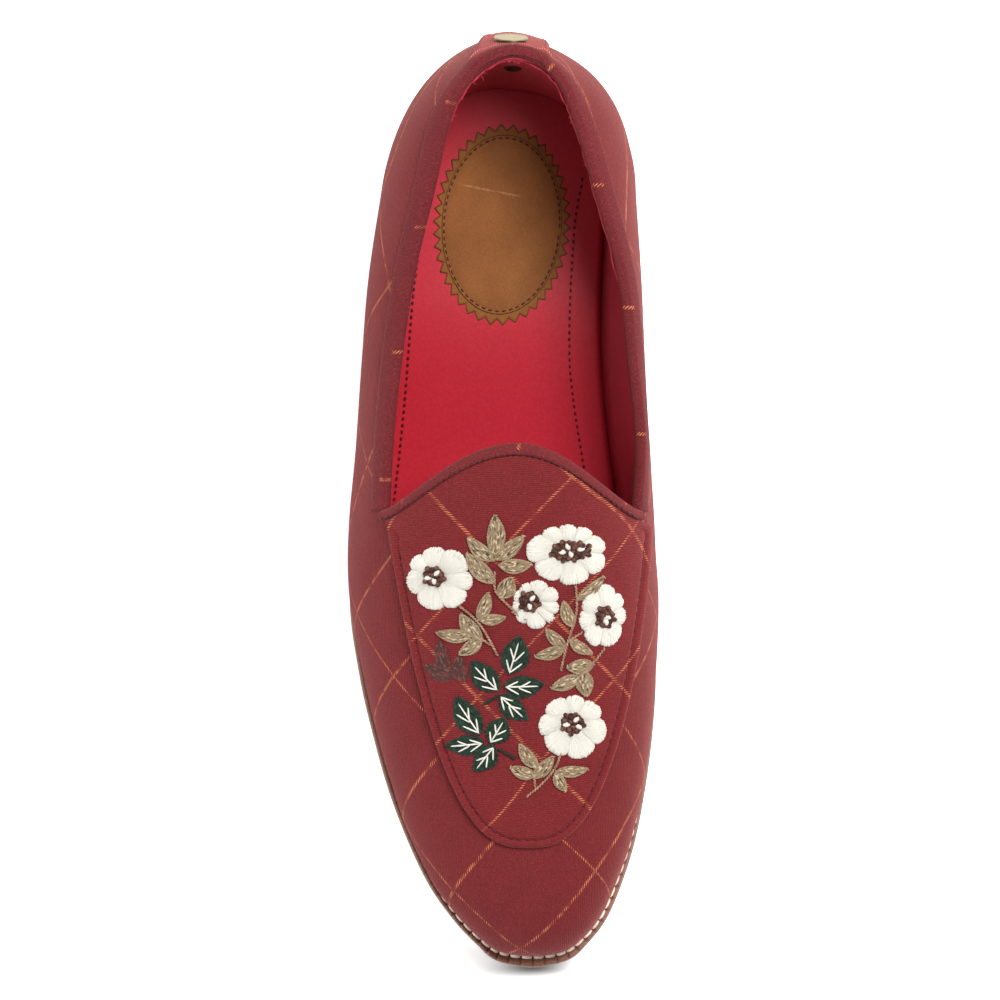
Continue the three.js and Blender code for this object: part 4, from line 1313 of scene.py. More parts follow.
def surface_seam(name, line, pitch, share, sunk, width, height, bow):
    """Stitches along a line in plan, on the vamp's surface at a height."""
    ends = even_places(line, pitch)
    start, normal = vamp_place(ends[:-1], sunk)
    end, _ = vamp_place(lerp(ends[:-1], ends[1:], share), sunk)
    stitches(name, start, end, normal, seam_thread, width, height, bow)


sides = 2 * PER_SIDE + 1
seam_line = (outline + SEAM_IN * inset_step)[2:sides - 2]
surface_seam("apron_seam", seam_line, pitch=2.7, share=0.62, sunk=1.45, width=0.62, height=0.25, bow=0.14)

# %% [markdown]
# ## Bindings
# A folded strip of the same cloth is sewn over the collar and over the throat. Its section is a hook:
# a leg down the outside, a half circle over the edge and a leg inside. The section is carried along
# the edge with the wall's own normal, so the strip follows every turn of the collar.

# %% Binding builder
HOOK_LEG, HOOK_ROUND = 8, 17  # places along a leg and round the edge


def hook(outer_leg, inner_leg, high, low, centre, radius, thick, depth):
    """Section as (distance from the edge, height over the surface), outer side first, then the inner."""
    angle = np.linspace(0, np.pi, HOOK_ROUND)
    leg = np.linspace(1, 0, HOOK_LEG + 1)[:-1]
    mid = (high + low) / 2
    outer_q, inner_q = centre + (outer_leg - centre) * leg, centre + (inner_leg - centre) * leg
    sides = [
        (outer_q, high - thick * leg ** 14 + 0.18 * np.sin(np.pi * leg)),
        (centre - radius * np.sin(angle), mid + (high - mid) * np.cos(angle)),
        (inner_q[::-1], low + thick * leg[::-1] ** 14),
        (inner_q, low + depth + 0 * leg),
        (outer_q[::-1], high - depth + 0 * leg)]
    return np.concatenate([np.stack(side, -1) for side in sides])


def wall_places(u, q, height):
    """Points near the collar: q down from the edge along the wall, height over its outer surface."""
    u2, q2 = np.broadcast_arrays(u[:, None], q)
    s = 1 - np.maximum(q2, 0) / rib_length(u)
    ds, du = 0.012, 0.006
    top = np.minimum(s + ds, 1)
    rise = unit(wall(u2, top) - wall(u2, top - 2 * ds))
    side = wall(np.clip(u2 + du, 1, 5), s) - wall(np.clip(u2 - du, 1, 5), s)
    normal = unit(np.cross(side, rise))
    return wall(u2, s) + height[..., None] * normal + np.maximum(-q2, 0)[..., None] * rise, normal


def strip(name, points, across, finish, measured=HOOK_LEG + HOOK_ROUND // 4):
    """Closed strip from sections: a tube with its two ends capped, its length measured at one place."""
    run, _ = run_round(points[:, measured])
    uv = np.stack(np.broadcast_arrays(across[None, :], run[:, None]), -1)
    points, faces = capped(points)
    solid(name, points, faces, finish, with_hubs(uv, [0, run[0]], [0, run[-1]]))


# %% Collar binding
COLLAR_PLACES = 420
TAB_X, TAB_HALF = 5.5, 10.4
TAB_FLARE = 1.9  # how much wider the tab is on its outer side
TAB_BACK = 3.0  # place round the shoe where the tab is
BACK_LEG, BACK_LEG_WIDE = 0.52, 0.4  # there the outer leg keeps this share of its length
THINNER, THINNER_WIDE = 1.0, 0.3  # and the inner side is pressed back by this much
OVER_TAB, TAB_SOFT = 0.95, 0.5  # the binding steps up over the tab, with soft edges
section = hook(outer_leg=6.6, inner_leg=4.6, high=0.85, low=-WALL - 0.75, centre=0.9, radius=1.95, thick=0.8,
               depth=0.7)


def pressed_back(u):
    """How far the binding and the lining's edge are pressed back behind the heel tab."""
    return THINNER * bell(split(u)[0], TAB_BACK, THINNER_WIDE)[:, None]


u_collar = np.linspace(1.0, 5.0, COLLAR_PLACES)
v, _ = split(u_collar)
beside_tab = top_line(u_collar)[:, 0] - TAB_X
past_tab = np.abs(beside_tab) - TAB_HALF - 0.7 * TAB_FLARE * (beside_tab < 0)
over_tab = (v > 2) / (1 + np.exp(past_tab / TAB_SOFT))
round_share = (1 + np.cos(np.linspace(0, np.pi, HOOK_ROUND))) / 2
outer_share = np.concatenate([np.ones(HOOK_LEG), round_share, np.zeros(2 * HOOK_LEG), np.ones(HOOK_LEG)])
stepped = OVER_TAB * over_tab[:, None] * outer_share
offset = section[:, 1] + stepped + pressed_back(u_collar) * (outer_share < 0.5)
shorter = 1 - (1 - BACK_LEG) * bell(v, TAB_BACK, BACK_LEG_WIDE)[:, None]
leg = section[:, 0] * np.where((outer_share > 0.5) & (section[:, 0] > 0.9), shorter, 1.0)
collar_points, _ = wall_places(u_collar, leg, offset)
strip("collar_binding", collar_points, run_along(section), binding_cloth)

# %% Throat binding and its seam
THROAT_PLACES = 240
THROAT_SEAM_IN = 2.35  # the binding is sewn down this far from its rolled edge
section = hook(outer_leg=2.8, inner_leg=4.2, high=2.05, low=-WALL - 0.6, centre=1.0, radius=1.35, thick=0.8,
               depth=0.6)
arch = arch_point(np.sin(np.linspace(-1, 1, THROAT_PLACES) * np.pi / 2 * 0.985))
inner_way = right_of(unit(np.gradient(arch, axis=0)))
throat_points, _ = vamp_place(arch[:, None] + section[:, :1] * inner_way[:, None], section[:, 1])
strip("throat_binding", throat_points, run_along(section), throat_cloth)
surface_seam("throat_seam", (arch + THROAT_SEAM_IN * inner_way)[6:-6], pitch=1.9, share=0.55, sunk=2.12,
             width=0.6, height=0.22, bow=0.1)

# %% [markdown]
# ## Heel tab and stud
# A strip of the cloth runs up the back seam and under the collar binding, and a round stud holds it.
# Its long edges are folded, at the top its two ends stand off a little as small ears, and half-way up it
# flares out on the outer side.

# %% The counter by x and share of height
def counter(x, s):
    """A place on the counter at one x and a share s of the way up, from the heel's superellipse."""
    middle = lerp(LAST["ridge"][-1], COLLAR_X, s)
    medial = x >= middle
    foot = np.abs(np.where(medial, LAST["med"][-1], LAST["lat"][-1]) - LAST["ridge"][-1])
    top = np.abs(np.where(medial, COLLAR["med"][-1], COLLAR["lat"][-1]) - COLLAR_X)
    turn = np.arcsin((np.abs(x - middle) / lerp(foot, top, s)) ** (HEEL_POWER / 2))
    v = 3 - turn / (np.pi / 2)
    return wall(np.where(medial, v, 6 - v), s)


def counter_place(x, s, height):
    """Points at a height over the counter and its normals there, from finite differences."""
    x, s = np.broadcast_arrays(np.asarray(x, float), np.asarray(s, float))
    across = counter(x - 0.5, s) - counter(x + 0.5, s)
    up = counter(x, np.minimum(1, s + 0.02)) - counter(x, np.maximum(0, s - 0.02))
    normal = unit(np.cross(across, up))
    return counter(x, s) + normal * np.asarray(height)[..., None], normal


print("half-way up the counter:", counter(COLLAR_X, 0.5).round(1))

# %% Heel tab
TAB_TOP, TAB_FOOT, TAB_ROUND, TAB_THICK, TAB_UNDER = 0.95, 0.04, 0.06, 1.2, 0.05
COLUMNS, ROWS = 60, 90
TAB_RUN = 45  # its length, in millimetres of cloth


def across_tab(a, s):
    """Place across the tab: its middle plus half its width times a, and a flare on the outer side."""
    return TAB_X + TAB_HALF * a - TAB_FLARE * (a < 0) * np.abs(a) ** 3 * bell(s, 0.7, 0.4)


def smooth(value, low, high):
    """Smooth step of an array from low to high."""
    t = np.clip((value - low) / (high - low), 0, 1)
    return t * t * (3 - 2 * t)


a = np.sin(np.linspace(-1, 1, COLUMNS) * np.pi / 2)[:, None]
k = np.linspace(0, 1, ROWS)[None, :] ** 1.5
s = lerp(TAB_FOOT + TAB_ROUND * a ** 4, TAB_TOP, k)
ear = 0.5 * bell(k, 0.72, 0.1) * np.abs(a) ** 3
crease = 0.9 * bell(a, 0.62, 0.13) * np.clip((k - 0.55) / 0.4, 0, 1)
x = across_tab(a, s) + ear * a
rim = np.sqrt(1 - np.clip((np.abs(a) - 0.86) / 0.14, 0, 1) ** 2)
foot_rim = np.sqrt(1 - (1 - np.clip(k / 0.05, 0, 1)) ** 2)
lift = 0.35 + (TAB_THICK - 0.15) * rim * foot_rim + 0.3 * bell(np.abs(a), 0.8, 0.09) - 0.75 * crease
lift = lift + ear * np.where(a > 0, 1.4, 0.5)
lift = lerp(lift, 0.15, smooth(k, 0.95, 1.0))
front, _ = counter_place(x, s, lift)
back, _ = counter_place(x, s, TAB_UNDER + 0 * lift)
tab_uv = np.stack(np.broadcast_arrays(x, TAB_RUN * k), -1)
tab_faces = [grid_quads(2 * COLUMNS, ROWS, True)]
for end in (0, ROWS - 1):
    ring = np.arange(2 * COLUMNS) * ROWS + end
    near, far = ring[:COLUMNS], ring[:COLUMNS - 1:-1]
    quads = np.stack([near[:-1], near[1:], far[1:], far[:-1]], -1)
    tab_faces.append(quads[:, ::-1] if end == 0 else quads)
solid("heel_tab_strip", np.concatenate([front, back[::-1]]), tab_faces, tab_cloth_painted_light,
      np.concatenate([tab_uv, tab_uv[::-1]]), ("heel_tab",))

# %% Seams of the tab
tab_rows = []
for beside_middle in (-0.86, 0.86):
    share = np.linspace(0.12, 0.93, 200)
    at, normal = counter_place(across_tab(beside_middle, share), share, 0.3 + TAB_THICK)
    tab_rows.append(even_places(np.concatenate([at, normal], -1), 2.6))
sewn_rows("tab_seams", tab_rows, 0.6, seam_thread, width=0.55, height=0.2, bow=0.1)

# %% Metals
tree = new_tree("pale_gold")
brushed = noise(object_map(tree), (400.0, 60.0, 2500.0), 3.0)
gold = mix(brushed, (132, 118, 86), (164, 150, 114))
rough = ramp(brushed, 0.2, 0.8, 0.42, 0.56)
pale_gold = material("pale_gold", gold, brushed, bump=0.00002, strength=0.5, rough=rough, Metallic=1.0)
tree = new_tree("dark_metal")
smudge = noise(object_map(tree), 300.0, 3.0)
iron = mix(smudge, (40, 34, 30), (84, 72, 60))
dark_metal = material("dark_metal", iron, smudge, bump=0.00002, strength=0.4, Metallic=1.0, Roughness=0.35)


def disc(name, centre, axis, profile, finish, steps=72, replaces=()):
    """Round piece: a profile of (radius, height) turned about an axis."""
    axis = unit(np.asarray(axis, float))
    first = unit(np.cross(axis, UP))
    turn = oval(np.arange(steps) / steps * 2 * np.pi)
    spoke = turn[:, :1] * first + turn[:, 1:] * np.cross(axis, first)
    profile = np.asarray(profile, float)[:, :, None, None]
    points, faces = capped(centre + profile[:, 0] * spoke + profile[:, 1] * axis)
    solid(name, points, faces, finish, replaces=replaces)


print("metals:", pale_gold.name, dark_metal.name)

# %% Stud
STUD_X, STUD_HEIGHT, STUD_RADIUS = 4.8, 0.56, 5.2
STUD_BASE = [(0.5, -0.8), (0.93, -0.6), (0.97, -0.2), (0.9, 0.1), (0.4, 0.12)]  # share of the radius, height
STUD_FACE = [
    (0.6, 0.05), (0.96, 0.08), (1.0, 0.2), (1.0, 0.36), (0.985, 0.5), (0.94, 0.58), (0.88, 0.56),
    (0.84, 0.48), (0.8, 0.46), (0.6, 0.5), (0.3, 0.54), (0.1, 0.55)]
stud_at, stud_n = counter_place(STUD_X, STUD_HEIGHT, 0.3 + TAB_THICK)
disc("stud_base", stud_at, stud_n, np.array(STUD_BASE) * (STUD_RADIUS, 1), dark_metal)
disc("stud_face", stud_at, stud_n, np.array(STUD_FACE) * (STUD_RADIUS, 1), pale_gold, replaces=("stud",))

# %% [markdown]
# ## Heel pad
# An oval of tan suede lies on the sock: a pinked patch, cut in teeth with shears, and on it a plain
# oval sewn down along its edge. Both are grids in polar coordinates; the teeth are a triangle wave
# added to the radius.

# %% Suede
SCRATCH_SLOPE, SCRATCH_X, SCRATCH_Y = -0.2, -0.003, 0.0982  # a faint scratch, in metres


def scuff(at):
    """A faint scratch across the pad: a narrow band along one slanted line, broken by noise."""
    x, y, _ = axes(at)
    band = within(minus(y, times(x, SCRATCH_SLOPE)), SCRATCH_Y, 0.0003, 0.0002, 0.0002)
    reach = within(x, SCRATCH_X, 0.0085, 0.002, 0.002)
    return times(band, reach, ramp(noise(at, 900.0, 2.0), 0.35, 0.6, 0.08, 0.42))


def suede(name, light, dark):
    """Suede: clouds of nap brushed in different directions, pores and a matt shine."""
    tree = new_tree(name)
    at = object_map(tree)
    clouds = noise(at, (55.0, 40.0, 40.0), 5.0, 0.65)
    nap = noise(at, (2600.0, 1800.0, 1800.0), 3.0, 0.7)
    pores = ramp(node("TexVoronoi", at, None, 700.0), 0.0, 0.4)
    tone = linear(clouds, 0.9, linear(nap, 0.7, -0.32))
    relief = plus(nap, times(pores, 0.5))
    worn = mix(scuff(at), mix(tone, dark, light), (196, 150, 104))
    # The suede is darker towards the very edge of each piece, read from the attribute "edge".
    return material(name, mix(tagged(tree, "edge"), worn, (50, 24, 16)), relief, bump=0.00012,
                    strength=0.5, Roughness=0.8, Sheen_Weight=0.1,
                    Sheen_Tint=(1, 0.8, 0.55, 1), Specular_IOR_Level=0.2)


pad_suede = suede("pad_suede", (156, 100, 52), (94, 54, 26))
pinked_suede = suede("pinked_suede", (156, 102, 48), (90, 52, 22))
print("suedes:", pad_suede.name, pinked_suede.name)

# %% Heel pad
PAD_MIDDLE, PAD_HALF, PAD_TURN = (0.5, 88.1), (21.0, 31.5), -0.055
PLAIN = 0.9  # the plain oval's size beside that of the pinked patch
TEETH, TOOTH_DEPTH, PLACES_A_TOOTH = 42, 2.1, 12
PINKED_EDGE = [  # share of the way out, height over the insole
    (0.4, -0.6), (0.985, -0.5), (1.0, -0.15), (0.993, 0.0), (0.965, 0.05), (0.95, 0.08), (0.9, 0.1),
    (0.4, 0.1)]
PLAIN_EDGE = [
    (0.4, -0.05), (0.99, 0.0), (1.0, 0.15), (0.995, 0.42), (0.985, 0.5), (0.975, 0.42), (0.965, 0.34),
    (0.95, 0.44), (0.9, 0.72)]
domed = [(share, 0.8 + 0.35 * (1 - share ** 2)) for share in np.linspace(0.8, 0.06, 14)]


def on_pad(angle, share):
    """Plan of a line round the pad, at a share of the way out."""
    return rotated(oval(angle, *PAD_HALF) * np.asarray(share)[..., None], PAD_TURN) + PAD_MIDDLE


def pinked(angle):
    """Radius with teeth: 1 plus a triangle wave, one tooth to each equal length round the oval."""
    way = oval(angle, *PAD_HALF)
    run, total = run_round(way)
    saw = np.abs(np.mod(run / total * TEETH, 1) - 0.5) * 2
    return 0.99 + TOOTH_DEPTH / np.linalg.norm(way, axis=-1) * (saw - 0.5)


def oval_disc(name, radius, levels, steps, finish, darkens_from, replaces=()):
    """Flat oval piece: radius is a function of the angle, levels a list of (share, height)."""
    angle = np.arange(steps) / steps * 2 * np.pi
    rings = [on_insole(on_pad(angle, share * radius(angle)), height) for share, height in levels]
    points, faces = capped(np.stack(rings))
    share = np.append(np.repeat([level[0] for level in levels], steps), [0, 0])
    edge = {"edge": np.clip((share - darkens_from) / (1 - darkens_from), 0, 1)}
    solid(name, points, faces, finish, replaces=replaces, extra=edge)


oval_disc("pinked_patch", pinked, PINKED_EDGE, TEETH * PLACES_A_TOOTH, pinked_suede, darkens_from=0.96,
          replaces=("heel_pad",))
oval_disc("pad_oval", lambda angle: PLAIN + 0 * angle, PLAIN_EDGE + domed, 240, pad_suede, darkens_from=0.985)
pad_thread = thread("pad_thread", (92, 44, 26), (44, 20, 14))
ring = on_insole(on_pad(np.linspace(0, 2 * np.pi, 900), 0.965 * PLAIN), 0.38)
sewn_rows("pad_stitches", [even_places(ring, 2.2)], 0.62, pad_thread, width=0.55, height=0.2, bow=0.12)

# %% Rows of stitches in the sock
sock_thread = thread("sock_thread", (96, 16, 26), (48, 8, 14))
SOCK_ROWS = [  # places round the shoe, and how far the row runs inside the feather line there
    ([0.55, 1.161, 1.441, 1.908, 2.15], [10.5, 10.7, 11.9, 11.6, 8.7]),
    ([3.85, 4.207, 4.516, 4.823, 5.45], [8.2, 7.6, 6.7, 7.1, 7.6])]
sock_rows = []
for places, insets in SOCK_ROWS:
    at = np.linspace(places[0], places[-1], 800)
    row = on_insole(feather_edge(at, np.interp(at, places, insets)), -0.05)
    sock_rows.append(even_places(row, 2.2))
sewn_rows("sock_stitches", sock_rows, 0.55, sock_thread, width=0.65, height=0.14, bow=0.08)

# %% [markdown]
# ## Heel cushion and the lining's edge
# Behind the lining of the heel lies a soft cushion, so the inner wall runs down almost straight, without
# the hollow of the outer one. It is the lining's surface drawn in towards a straight line between the
# collar and the insole; the share fades out along the quarters, and its two ends are out of sight under
# the vamp. Above it, the lining's raw edge peeps out under the binding as a wavering crimson roll, with
# short frays; the roll is a brighter red than the lining, as a painted highlight.

# %% Heel cushion
CUSHION_PLACES = 360
CUSHION_END = 0.9  # its front end, out of sight under the vamp
CUSHION_FROM, CUSHION_FULL = 1.6, 2.7  # its face leaves the curve of the wall, and is straight
CUSHION_IN, CUSHION_MIDDLE, CUSHION_WIDE = 8.3, 2.97, 0.46  # drawn in at the insole: a bell of the place
u_cushion = np.linspace(CUSHION_END, 6 - CUSHION_END, CUSHION_PLACES)
v, _ = split(u_cushion)
column = outer_wall(u_cushion, LINING_TUCK_ROWS, LINING_ROWS)[:, :-3]
column_n = surface_normals(column)
column_n = column_n * np.sign((column_n[..., :2] * outward(u_cushion)[:, None]).sum(-1, keepdims=True))
inset = CLOTH_THICK + LINING_THICK - 0.3 + 0.42 * smooth(v, CUSHION_END, CUSHION_END + 0.3)
lined = creased(column, column_n) - inset[:, None, None] * column_n
drawn_in = CUSHION_IN * bell(u_cushion, CUSHION_MIDDLE, CUSHION_WIDE)
low = on_insole(feather_edge(u_cushion, WALL - 0.4 + drawn_in), -0.3)[:, None]
way_up = np.linalg.norm(np.diff(lined, axis=1, prepend=lined[:, :1]), axis=-1).cumsum(1)
straight = lerp(low, lined[:, -1:], (way_up / way_up[:, -1:])[..., None])
face = lerp(lined, straight, smooth(v, CUSHION_FROM, CUSHION_FULL)[:, None, None])
behind = face[:, ::-1] + with_height(outward(u_cushion) * 0.5, 0.0)[:, None]
points, faces = capped(np.concatenate([face, behind], 1))
solid("heel_cushion", points, faces, crimson)

# %% Washer of the stud
WASHER_HEIGHT, WASHER_AXIS = 66.5, (0, -0.95, 0.32)
column = np.argmin(np.abs(face[:, LINING_ROWS // 2, 0] - STUD_X) + 100 * (v < 2.5))
level = np.argmin(np.abs(face[column, :, 2] - WASHER_HEIGHT))
disc("stud_washer", face[column, level] - [0, 0.2, 0], WASHER_AXIS,
     [(1.0, -0.5), (2.6, -0.4), (2.7, 0.1), (2.4, 0.35), (1.5, 0.4), (1.3, 0.1), (0.6, 0.05)],
     dark_metal, steps=48)

# %% Edge of the lining
LIP_PLACES, LIP_FROM = 900, 1.6  # how many, and the first place where the edge shows
WAVER = 25  # places over which the wavering is smoothed
u_lip = np.linspace(LIP_FROM, 6 - LIP_FROM, LIP_PLACES)
hidden = 1.3 * (1 - smooth(split(u_lip)[0], LIP_FROM, LIP_FROM + 0.15))[:, None]
ring = np.arange(7) / 7 * 2 * np.pi
hann = np.hanning(WAVER) / np.hanning(WAVER).sum()
waver = np.convolve(rng.normal(0, 1, LIP_PLACES + WAVER - 1), hann * 2.2, "valid")[:, None]
lip_down = 1.5 + 0.35 * waver + 0.55 * np.sin(ring)
lip_in = -WALL - 1.4 + hidden + pressed_back(u_lip) + 0.15 * waver[::-1] + 0.42 * np.cos(ring)
lip, lip_n = wall_places(u_lip, lip_down, lip_in)
# Painted highlight: the lining's edge is a brighter red than the lining it is cut from, as the light line it
# catches under the binding.
edge_crimson_highlight = leather("edge_crimson_highlight", (206, 54, 76), (162, 30, 50), shine=0.3)
strip("lining_edge", lip, ring, edge_crimson_highlight, measured=0)

# %% Frays
FRAYS, FRAY_LENGTHS = 150, (0.7, 1.5)
TUFTS = [2.02, 2.12, 2.35, 2.95, 3.0, 3.05, 3.3, 3.42, 3.62]  # places where the edge is frayed
fray_u = rng.choice(TUFTS, FRAYS) + rng.normal(0, 0.03, FRAYS)
fray_at = np.searchsorted(u_lip, fray_u)
root, fray_n = lip[fray_at].mean(1), lip_n[fray_at, 0]
drift = rng.normal(0, 0.5, (FRAYS, 3)) - fray_n * 0.35
fray_thread = thread("fray_thread", (214, 84, 96), (160, 34, 52))
tip = root + drift * rng.uniform(*FRAY_LENGTHS, (FRAYS, 1))
stitches("frays", root, tip, fray_n, fray_thread, width=0.2, height=0.1, bow=0.25)

# %% [markdown]
# ## Embroidery
# The apron carries hand embroidery of a traditional kind: white blossoms with knotted centres, khaki
# sprays, dark green leaves with white veins and thin stems. A blossom is a grid in polar coordinates
# round its hub: an oval whose radius swells between notches, with satin threads running inwards. A leaf
# is a grid along its midrib. All of it lies on the apron's face and follows its curve.

# %% Embroidery helpers
FACE = APRON_GAP + APRON_THICK + 0.12  # height of the apron's face over the vamp


def sewn(plan, height):
    """Points of the embroidery at a height over the apron's face, and the normals there."""
    return vamp_place(plan, FACE + height)


print("embroidery lies", round(FACE, 2), "mm over the vamp")

# %% Petals
BLOSSOMS = [  # hub, middle of the outline, its size, centre's size, knots, white seeds, notches in degrees
    ((-18.1, -21.3), (-16.6, -22.0), (19.2, 19.0), (6.8, 6.6), 15, (2, 3, 4),
     (9, 68, 121, 165, 227, 285, 334)),
    ((21.9, -13.3), (21.1, -14.6), (22.3, 18.4), (13.0, 6.6), 30, (2, 4, 6, 8),
     (-7, 33, 71, 114, 150, 200, 252, 308)),
    ((10.1, -28.9), (12.0, -29.9), (14.0, 15.0), (6.6, 7.0), 15, (3, 2),
     (-1, 37, 88, 132, 180, 222, 262, 307, 330)),
    ((31.8, -34.1), (31.3, -34.1), (13.2, 19.8), (5.6, 7.4), 15, (0, 2),
     (29, 64, 103, 163, 217, 263, 332)),
    ((22.5, -67.1), (22.6, -68.7), (19.3, 20.0), (7.6, 7.2), 16, (3, 4, 5),
     (9, 61, 104, 160, 206, 262, 314)),
]
PETAL_COLUMNS, PETAL_ROWS, THREAD_COLUMNS, PETAL_BACK = 600, 18, 4, -0.4


def petals(hub, middle, size, notches):
    """Radius: from hub to oval along each ray, times 0.84 + 0.18 (4 f (1 - f)) ** 0.45 within each petal."""
    edges = np.radians(np.sort(notches))
    angle = edges[0] + np.linspace(0, 2 * np.pi, PETAL_COLUMNS + 1)
    bounds = np.append(edges, edges[0] + 2 * np.pi)
    k = np.clip(np.searchsorted(bounds, angle, side="right") - 1, 0, len(edges) - 1)
    f = (angle - bounds[k]) / (bounds[k + 1] - bounds[k])
    swell = 4 * f * (1 - f)
    way, half = oval(angle), np.asarray(size) / 2
    start, step = (np.asarray(hub) - middle) / half, way / half
    a, b, c = (step ** 2).sum(-1), (step * start).sum(-1), (start ** 2).sum() - 1
    reach = (np.sqrt(b * b - a * c) - b) / a
    reach = reach * (0.84 + 0.18 * swell ** 0.45) * rng.normal(1, 0.025, len(edges))[k]
    ragged = np.repeat(rng.normal(0, 0.1, PETAL_COLUMNS // THREAD_COLUMNS + 1), THREAD_COLUMNS)
    ragged = np.append(ragged[:PETAL_COLUMNS], ragged[0])
    t = (np.linspace(0, 0.97, PETAL_ROWS) ** 1.25)[:, None]
    radius = (reach + ragged * (1 - t) ** 4) * (1 - t)
    depth = reach * t
    furrow = bell(np.minimum(f, 1 - f) * np.gradient(angle) * 95 * radius, 0, 1.6)
    height = (0.3 + 0.4 * (1 - (1 - np.clip(depth / 1.1, 0, 1)) ** 2) ** 0.5 - 0.2 * t ** 4
              + 0.25 * swell ** 0.5 * np.sin(np.pi * np.clip(t * 1.1, 0, 1)) - 0.35 * furrow * (1 - t))
    plan = np.asarray(hub) + radius[..., None] * way
    rings = np.concatenate([sewn(plan[:1], PETAL_BACK)[0], sewn(plan, height)[0]])
    hubs = [sewn(hub, level)[0] for level in (PETAL_BACK, height[-1].mean())]
    run = run_along(plan[0])
    uv = np.stack(np.broadcast_arrays(run, np.concatenate([0 * depth[:1], depth])), -1)
    levels, count = rings.shape[:2]
    line, last = np.arange(count - 1), (levels - 1) * count
    top_fan = np.stack([0 * line + levels * count + 1, last + line, last + line + 1], -1)
    low_fan = np.stack([0 * line + levels * count, line + 1, line], -1)
    hub_uv = [run[-1] / 2, float(depth.max())]
    points = np.concatenate([rings.reshape(-1, 3), hubs])
    return points, [grid_quads(levels, count), top_fan, low_fan], with_hubs(uv, hub_uv, hub_uv)


# %% Satin thread and blossoms
tree = new_tree("petal_thread")
at = cloth_map(tree)
across, inwards, _ = axes(at)
flow = noise(at, (0.9, 0.25, 1.0), 2.0)
strands = wave(linear(flow, 1.1, across), 0.5)
# Painted shade: grey gaps between the satin strands, strongest towards the petal's rim, and dark needle holes
# stand for the shade between and in the threads.
rim = ramp(inwards, 0.3, 2.6, 1.0, 0.25)
petal_gap_shade = times(ramp(strands, 0.05, 0.45, 1.0, 0.0), rim)
patches = ramp(noise(at, (0.8, 0.6, 1.0), 2.0), 0.4, 0.65)
shade = times(petal_gap_shade, linear(patches, 0.6, 0.25))
white = mix(shade, (223, 219, 207), (122, 116, 104))
hole = ramp(node("TexVoronoi", at, None, 0.13), 0.022, 0.04, 0.8, 0.0)
petal_thread = material("petal_thread", mix(hole, white, (70, 70, 66)), strands, bump=0.00016,
                        strength=0.7, Roughness=0.6, Sheen_Weight=0.15, Specular_IOR_Level=0.3)
joined("blossoms", [petals(b[0], b[1], b[2], b[6]) for b in BLOSSOMS], petal_thread)

# %% Knots and seeds
GOLDEN = np.pi * (3 - np.sqrt(5))
KNOT_COLUMNS = 14


def lump(centre, radius, long, turn, height, base):
    """A knot: a dome with a spiral groove, longer one way."""
    t = np.array([1.0, 0.97, 0.85, 0.6, 0.3, 0.08])[:, None]
    angle = np.arange(KNOT_COLUMNS) / KNOT_COLUMNS * 2 * np.pi
    flat = oval(angle, radius * long, radius) * t[..., None]
    rise = base + height * np.sqrt(1 - t ** 2) + 0.14 * height * np.sin(angle + 9 * t) * (t < 0.9)
    rings, _ = sewn(centre + rotated(flat, turn), rise)
    return *capped(rings), with_hubs(flat + centre, centre, centre)


def knot_centres(hub, size, count, seeds):
    """Slots of a centre on a sunflower spiral: place, whether it is a white seed, and turn."""
    k = np.arange(count)
    share, turn = np.sqrt((k + 0.4) / count), k * GOLDEN
    place = oval(turn, *size) * share[:, None] * 0.46 + hub
    return zip(place, np.isin(k, seeds), turn)


knots, seeds = [], []
for hub, _, _, size, count, white_ones, _ in BLOSSOMS:
    flat = dict(long=size[0] / size[1], turn=0.0, height=0.2, base=0.75)
    # The first, flat lump under each centre lays the knots' dark thread between them, as painted shade in the
    # gaps.
    knots.append(lump(hub, size[1] / 2 * 0.93, **flat))
    for place, is_seed, way in knot_centres(hub, size, count, white_ones):
        if is_seed:
            seeds.append(lump(place, radius=0.75, long=1.5, turn=way, height=0.8, base=0.95))
        else:
            knots.append(lump(place, radius=0.8, long=1.15, turn=way, height=0.8, base=0.85))
tree = new_tree("knot_thread")
twine = noise(object_map(tree), (1900.0, 1500.0, 1500.0), 3.0, 0.7)
# Painted shade: the thread darkens towards the borders of the cells of a voronoi pattern, as the shade
# between the knots.
knot_gap_shade = ramp(node("TexVoronoi", cloth_map(tree), None, 0.9), 0.2, 0.7)
tone = linear(knot_gap_shade, 0.55, times(twine, 0.65))
knot_thread = material("knot_thread", mix(tone, (134, 88, 72), (38, 17, 16)), twine,
                       bump=0.0003, strength=0.9, Roughness=0.7, Specular_IOR_Level=0.25)
joined("blossom_knots", knots, knot_thread)
white_thread = thread("white_thread", (232, 228, 218), (206, 200, 188))
joined("blossom_seeds", seeds, white_thread)

